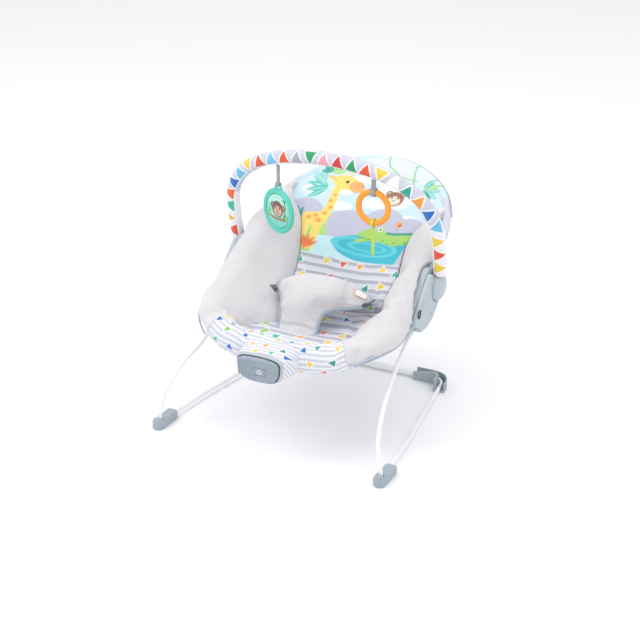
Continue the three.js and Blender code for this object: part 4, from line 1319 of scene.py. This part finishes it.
def make_cord(name, points, steps):
    cord = tube(name, free_path(points), CORD * MM, "piping_cloth", "seat", steps, 10)


def make_piping():
    """Thin corded edges: along the outer side of each bolster and round the head."""
    for side, name in SIDES:
        path = Path(mirrored(ROLL, side))
        edge = []
        for u in np.linspace(0.02, 0.97, 40):
            centre, out, up = roll_frame(side, path, u)
            away = math.cos(CORD_ANGLE) * out + math.sin(CORD_ANGLE) * up
            edge.append(centre + (roll_radius(side, u) + CORD_OUT) * MM * away)
        make_cord(f"{name}_bolster_piping", clear_of_hub(inside_bar(edge), side, HUB_GAP + 2.5), 160)
    rim = []
    for u in np.linspace(0.2, 0.8, 60):
        centre, ahead = BACK_RIM.at(u), BACK_RIM.along(u)
        out = unit(np.cross(ahead, HEAD_UP))
        out = out * np.sign(out @ (centre - HEAD_MIDDLE))
        rim.append(centre + out * (SLEEVE + CORD_OUT) * MM)
    make_cord("head_piping", rim, 220)


def free_path(points):
    """A path through points that are already in metres in the part's frame."""
    return Path([(p[0] / MM, (p[1] + DATUM_Y) / MM, p[2] / MM) for p in points], 12)


# ---------------------------------------------------------------- restraint

# The pad from its top edge over the belly to the crotch: middle (y, z), half width, and how far its ends lie
# back and down from the middle.
PAD_ROWS = np.array([
    (228, 281, 86, 6, 26), (205, 287, 96, 16, 32), (180, 281, 98, 32, 34), (163, 265, 80, 32, 24),
    (152, 244, 50, 16, 8), (147, 220, 41, 7, 2), (141, 200, 39, 4, 0), (128, 186, 38, 3, 0)], float)
PAD_END = len(PAD_ROWS) - 1


def pad_point(w, share, depth):
    """A point of the restraint pad; depth is how far it lies in from the pad's outer face."""
    row = between(PAD_ROWS, w)
    before, after = between(PAD_ROWS, max(w - 0.4, 0)), between(PAD_ROWS, min(w + 0.4, PAD_END))
    inward = unit(np.array((0, before[1] - after[1], after[0] - before[0])))
    aside = 10.0 - 21.0 * smoothstep(2.4, 4.6, w)
    face = np.array((share * row[2] + aside, row[0] + row[3] * share ** 2, row[1] - row[4] * share ** 2))
    return face + inward * depth


def make_crotch_pad():
    ws = np.linspace(0, PAD_END, 40)
    shares = np.linspace(-1, 1, 31)
    top, low = [], []
    for w in ws:
        end = 1 - 0.9 * math.exp(-w / 0.18)
        thick = [end * (1 - abs(s) ** 6) for s in shares]
        top.append([pad_point(w, s, 3.4 - 5.0 * k) for s, k in zip(shares, thick)])
        low.append([pad_point(w, s, 5.4 + 4.4 * k) for s, k in zip(shares, thick)])
    flat = [[(s * 80, w * 24) for s in shares] for w in ws]
    piece, _ = quilt("restraint_pad", np.array(top), np.array(low), flat, "plush")
    edge = edge_of(len(ws), len(shares))
    simulate(piece, edge + [len(ws) * len(shares) + k for k in edge], 10, 0.06, 4 * MM)
    subdivide(piece, 2)
    finish_soft(piece, "crotch_pad")
    border = [pad_point(w, -1.02, 4.0) for w in np.linspace(PAD_END, 0.12, 34)]
    border += [pad_point(0.0, s, 4.4) for s in np.linspace(-0.93, 0.93, 16)]
    border += [pad_point(w, 1.02, 4.0) for w in np.linspace(0.12, PAD_END, 34)]
    path = Path([tuple(p) for p in border], 8)
    cord = tube("restraint_piping", path, 3.2 * MM, "piping_cloth", "seat", 280, 12)


def tag_colours(s, t):
    """A plain cloth label: white, with an orange edge and a few lines."""
    label = Print(s, t, "fbfbfa", 0.5)
    label.lay(-label.shape([(-8.6, -5.4), (8.6, -5.4), (8.6, 5.4), (-8.6, 5.4)]), "f08a3c")
    for height, length in ((2.4, 5.6), (-0.2, 6.2), (-2.8, 4.4)):
        label.lay(label.line([(-length, height), (length, height)], 0.8), "c9cbd0")
    return label.colours


# Where the label begins on the pad, as its row and its share, how far it goes in each, and its faces' depths.
TAG_FROM = (1.2, 0.74)
TAG_SIZE = (0.72, 0.2)
TAG_DEPTHS = (-3.4, -2.4)


def make_tag():
    """The label sewn on the restraint pad's right end."""
    rows = np.linspace(0, 1, 7)
    columns = np.linspace(0, 1, 11)
    (row, share), (tall, wide) = TAG_FROM, TAG_SIZE
    top, low = (np.array([[pad_point(row + tall * r, share + wide * c, depth) for c in columns] for r in rows])
                for depth in TAG_DEPTHS)
    flat = [[(-9.5 + 19 * c, 6.2 - 12.4 * r) for c in columns] for r in rows]
    piece, _ = quilt("plain_label", top, low, flat, "tag_cloth")
    subdivide(piece, 2)
    paint(piece, tag_colours)


def crumple(strap):
    """Gives the strap a mesh of its own. The strap is sewn down at its outer end, so in use it shortens as the
    buckle slides out towards that end.
    """
    points = coordinates(strap.data)
    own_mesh(strap)


def make_buckles():
    for side, name in SIDES:
        softened(f"{name}_buckle_socket", 0.4, 3)
        softened(f"{name}_buckle_tongue", 0.4, 3)
        crumple(softened(f"{name}_waist_strap", 0.35, 2))


# ---------------------------------------------------------------- vibration pod

POD = {"front": -30, "bezel": -22, "height": 187, "half_width": 47, "half_height": 28}
# The ridges on the pod's left half: the furthest one, the step to the next and half a full ridge's height.
RIDGES = 6
RIDGE_REACH = 36
RIDGE_STEP = 6.2
RIDGE_HEIGHT = 19.4


def pod_outline(half_width, half_height, steps=40):
    """The pod's D-shaped outline, from four cubic curves, as (x, z)."""
    z, e = POD["height"], 0.45
    w, h = half_width, half_height
    curves = [((-w, z + h * e), (-w, z - h * 0.7), (-w * 0.8, z - h), (0, z - h)),
              ((0, z - h), (w * 0.8, z - h), (w, z - h * 0.7), (w, z + h * e)),
              ((w, z + h * e), (w, z + h * 0.95), (w * 0.6, z + h), (0, z + h)),
              ((0, z + h), (-w * 0.6, z + h), (-w, z + h * 0.95), (-w, z + h * e))]
    points = []
    for a, b, c, d in curves:
        for t in np.linspace(0, 1, steps, endpoint=False):
            k = 1 - t
            points.append([k ** 3 * p + 3 * k * k * t * q + 3 * k * t * t * r + t ** 3 * s
                           for p, q, r, s in zip(a, b, c, d)])
    return np.array(points)


def make_pod():
    """The pod's casing with the ridges on its face, and a thin dark tube between face and bezel that is painted
    shade in the groove there.
    """
    softened("pod_rear_housing", 0.7)
    softened("pod_bezel", 0.5)
    softened("pod_face", 0.5, 4, "face_plastic")
    softened("battery_door", 0.4, 2)
    softened("power_button", 0.35, 3, "face_plastic")
    for k in range(RIDGES):
        reach = RIDGE_REACH - RIDGE_STEP * k
        height = RIDGE_HEIGHT * math.sqrt(max(1 - ((reach - 2) / 44) ** 2, 0.1))
        points = [(-reach - 1.6 + 3.4 * (z / RIDGE_HEIGHT) ** 2, POD["front"] + 0.1, POD["height"] + z)
                  for z in np.linspace(-height, height, 9)]
        ridge = tube(f"pod_ridge_{k + 1}", Path(points), 1.2 * MM, "face_plastic", "seat", 40, 10)
    groove = pod_outline(POD["half_width"] - 3.9, POD["half_height"] - 3.7, 12)
    loop = Path([(x, POD["bezel"] - 0.3, z) for x, z in (*groove, groove[0])], 6)
    # Painted shade: a dark tube along the groove between face and bezel, where shade falls.
    pod_shade_tube = tube("pod_groove_shade", loop, 1.25 * MM, "painted_gap_shade", "seat", 160, 10)


COLLAR = {"from": -17.0, "to": 34.0, "clear": 2.2, "spread": 6.5}


def make_pod_collar():
    """The lip's cloth drawn round the pod's rear housing."""
    grid, flat = [], []
    for share in np.linspace(0, 1, 14):
        y = COLLAR["from"] + (COLLAR["to"] - COLLAR["from"]) * share
        grow = COLLAR["clear"] + COLLAR["spread"] * share ** 1.6 - 1.9 * math.exp(-share / 0.04)
        outline = pod_outline(POD["half_width"] + grow, POD["half_height"] + grow, 24)
        grid.append([at(x, y, z) for x, z in outline])
        flat.append([(x * MM, (y + z) * MM) for x, z in (*outline, outline[0])])
    collar = skin("pod_cloth_collar", np.array(grid), "striped_cloth", "seat", np.array(flat))
    subdivide(collar, 2)
    paint(collar, fine_stripes)


# The middle of the mark on the button, and its radius.
MARK = (6, POD["front"] - 1.0, 186, 4.2)


def make_button_mark():
    """The moulded white mark on the button: a ring with a gap and a short line, as on any power button."""
    x, y, z, radius = MARK
    arc = [(x + radius * math.sin(a), y, z + radius * math.cos(a))
           for a in np.radians(np.linspace(40, 320, 15))]
    line = [(x, y, z + up) for up in (0.6, 2.4, 5.0)]
    for name, points in (("power_mark_ring", arc), ("power_mark_line", line)):
        mark = tube(name, Path(points), 0.75 * MM, "white_plastic", "button", 40, 8, first=(0, 1, 0))


# ---------------------------------------------------------------- toy bar

BAR = [(217.5, 290, 294), (219.5, 284, 325), (219.5, 277, 360), (216.5, 269, 396), (207, 264, 423),
       (191, 259, 446), (163, 254, 469), (118, 249, 489), (60, 246.5, 501), (0, 246, 505)]
BAR_RADIUS = 13.2
BAR_PATH = Path(both_sides(BAR))
# The bunting's colours from the left hub to the right one, and each pennant's place round and along the bar.
PENNANTS = ("6fbfe6", "e8593a", "f2b33d", "3fbfa8", "ef6b3a", "1f6fc4", "6fbfe6", "f2d04b", "e8593a",
            "7fc4ea", "e8593a", "a9adb8", "2ea06b", "f7a8b8", "d8383a", "2ea06b", "e8593a", "f2d04b",
            "ffffff", "2ba79a", "f2a23c", "1f6fc4", "6fbfe6", "f2d04b", "e8593a", "f2d04b", "e8593a")
PENNANT_STEP = 28.5
PENNANT_BASE = -13.0
PENNANT_TIP = 13.5
PENNANT_HALF = 13.0
# The ends of the sleeve are of plain cloth, this long.
PLAIN_END = 118


def bar_print(s, t):
    """Bunting on the toy bar's sleeve: s runs round the bar and t along it."""
    cloth_print = Print(s, t, "cfd0df")
    half = BAR_PATH.length / MM / 2
    leg = np.abs(t - half) - (half - PLAIN_END)
    cloth_print.lay(-leg, "f1f1f6")
    start = half - PENNANT_STEP * (len(PENNANTS) - 1) / 2
    for k, colour in enumerate(PENNANTS):
        middle = start + k * PENNANT_STEP
        turned = -1 if k % 5 == 2 else 1
        base, tip = PENNANT_BASE * turned, PENNANT_TIP * turned
        corners = [(base, middle - PENNANT_HALF), (base, middle + PENNANT_HALF), (tip, middle)]
        flag = cloth_print.shape(corners)
        cloth_print.lay(flag - 2.4, "fbfbfd")
        cloth_print.lay(flag, colour)
    return cloth_print.colours


def make_toy_bar():
    us = np.linspace(0.006, 0.994, 190)
    sides = 30
    front = (-0.42, -0.9, 0.0)
    puff = 1 + 0.022 * np.sin(us * 210) + 0.016 * np.sin(us * 93 + 1)
    grid = rings(BAR_PATH, us, BAR_RADIUS * MM * puff, sides, front)
    grid = wander(grid.reshape(-1, 3), 38, 0.9 * MM, 9.0).reshape(grid.shape)
    girth = 2 * math.pi * BAR_RADIUS * MM
    around = np.linspace(0, girth, sides + 1)
    around = np.where(np.arange(sides + 1) > sides / 2, around - girth, around)
    flat = [[(-a, u * BAR_PATH.length) for a in around] for u in us]
    sleeve = skin("bar_sleeve_cloth", grid, "bar_cloth", "toy_bar", np.array(flat))
    subdivide(sleeve, 2)
    paint(sleeve, bar_print)
    stands_for(sleeve, "toy_bar_sleeve")


# ---------------------------------------------------------------- toys

DISC = {"x": -104, "radius": 45, "thick": 8, "top": 430, "yaw": -23.6, "y": 248.1}
RING = {"x": 97, "radius": 30.2, "tube": 5.8, "top": 461, "y": 247.8}
# The lug's middle line, across the disc toy and up from its middle.
LUG = [(-8.4, 42), (-8.0, 47), (-7.0, 51), (-3.5, 53.2), (0, 53.4), (3.5, 53.2), (7.0, 51), (8.0, 47),
       (8.4, 42)]


def toy_picture(s, t):
    """A plain animal face among leaves."""
    p = Print(s, t, "8fdccb", 0.7)
    p.oval((0, 26), (40, 18), "a8e6d6")
    p.oval((14, -22), (36, 14), "6fcdb8")
    p.stroke([(-34, -12), (-6, -17), (30, -12)], 5, "9a7350")
    for root, turn in (((-22, -12), 110), ((-26, -14), 150), ((20, -14), 50), ((26, -12), 20),
                       ((14, 20), 40)):
        p.leaf(root, 17, 8, turn, "4fae6a", "b9e3c0")
    p.stroke([(20, 34), (24, 12), (19, -16)], 3.2, "5d4335")
    draw_face(p, (0, 4), TOY_FACE)
    p.stroke([(-4, -4.4), (0, -6), (4, -4.4)], 1.2, TOY_FACE["nose_colour"])
    return p.colours


def disc_place(u, depth, w):
    """A point of the disc toy: u across it, depth towards its back and w up from its middle."""
    a = math.radians(DISC["yaw"])
    x = DISC["x"] + u * math.cos(a) - depth * math.sin(a)
    y = DISC["y"] + u * math.sin(a) + depth * math.cos(a)
    return at(x, y, DISC["top"] - DISC["radius"] + w)


def disc_rings(name, profile, material):
    """A round piece of the disc toy; the profile is (radius, depth)."""
    angle = np.linspace(0, 2 * math.pi, 96, endpoint=False)
    grid = [[disc_place(r * math.cos(a), d, r * math.sin(a)) for a in angle] for r, d in profile]
    flat = [[(r * math.cos(a) * MM, r * math.sin(a) * MM) for a in (*angle, 0.0)] for r, d in profile]
    return skin(name, np.array(grid), material, "disc_toy", np.array(flat))


def make_disc_toy():
    r = DISC["radius"]
    rim = [(0.5, 3.6), (r - 14, 3.8), (r - 3, 4), (r - 1, 3.4), (r, 1.6), (r, -1.6), (r - 1, -3.4),
           (r - 3, -4), (r - 8.4, -4), (r - 9.6, -3.6), (r - 10.2, -2.6), (r - 10.4, -1.3), (0.5, -1.3)]
    back = disc_rings("disc_toy_body", rim, "teal_plastic")
    stands_for(back, "disc_toy_rim")
    flat_face = [(k, -2.6) for k in (0.6, *range(2, 34, 2), 33.6)]
    picture = [(0.3, -1.4), *flat_face, (33.9, -2.0), (33.9, -1.4)]
    face = disc_rings("disc_toy_face", picture, "picture_plastic")
    subdivide(face, 1)
    paint(face, toy_picture)
    stands_for(face, "disc_toy_picture")
    bail = [disc_place(u, 0, w) for u, w in LUG]
    lug = tube("disc_toy_lug", free_path(bail), 2.3 * MM, "teal_plastic", "disc_toy", 60, 16, first=(0, 1, 0))
    softened("disc_toy_strap", 0.45, 3)


def make_ring_toy():
    z = RING["top"] - RING["radius"] - RING["tube"]
    circle = [(RING["x"] + RING["radius"] * math.sin(a), RING["y"], z + RING["radius"] * math.cos(a))
              for a in np.linspace(0, 2 * math.pi, 41)]
    ring = tube("ring_toy_torus", Path(circle, 6), RING["tube"] * MM, "orange_plastic", "ring_toy", 120, 28,
                first=(0, 1, 0))
    stands_for(ring, "ring_toy_ring")
    softened("ring_toy_strap", 0.45, 3)
    softened("ring_toy_ribbon", 0.35, 3)


# ---------------------------------------------------------------- the whole object

def make_all():
    dress_cad()
    make_floor_frame()
    make_hubs()
    make_hub_groove_shade()
    make_slings()
    make_seat_pad()
    make_back_pad()
    make_head_rim()
    for side, name in SIDES:
        make_wing(side, name)
    make_lip()
    make_piping()
    make_crotch_pad()
    make_tag()
    make_buckles()
    make_pod()
    make_pod_collar()
    make_button_mark()
    make_toy_bar()
    make_disc_toy()
    make_ring_toy()


make_all()
make_camera()
make_studio()
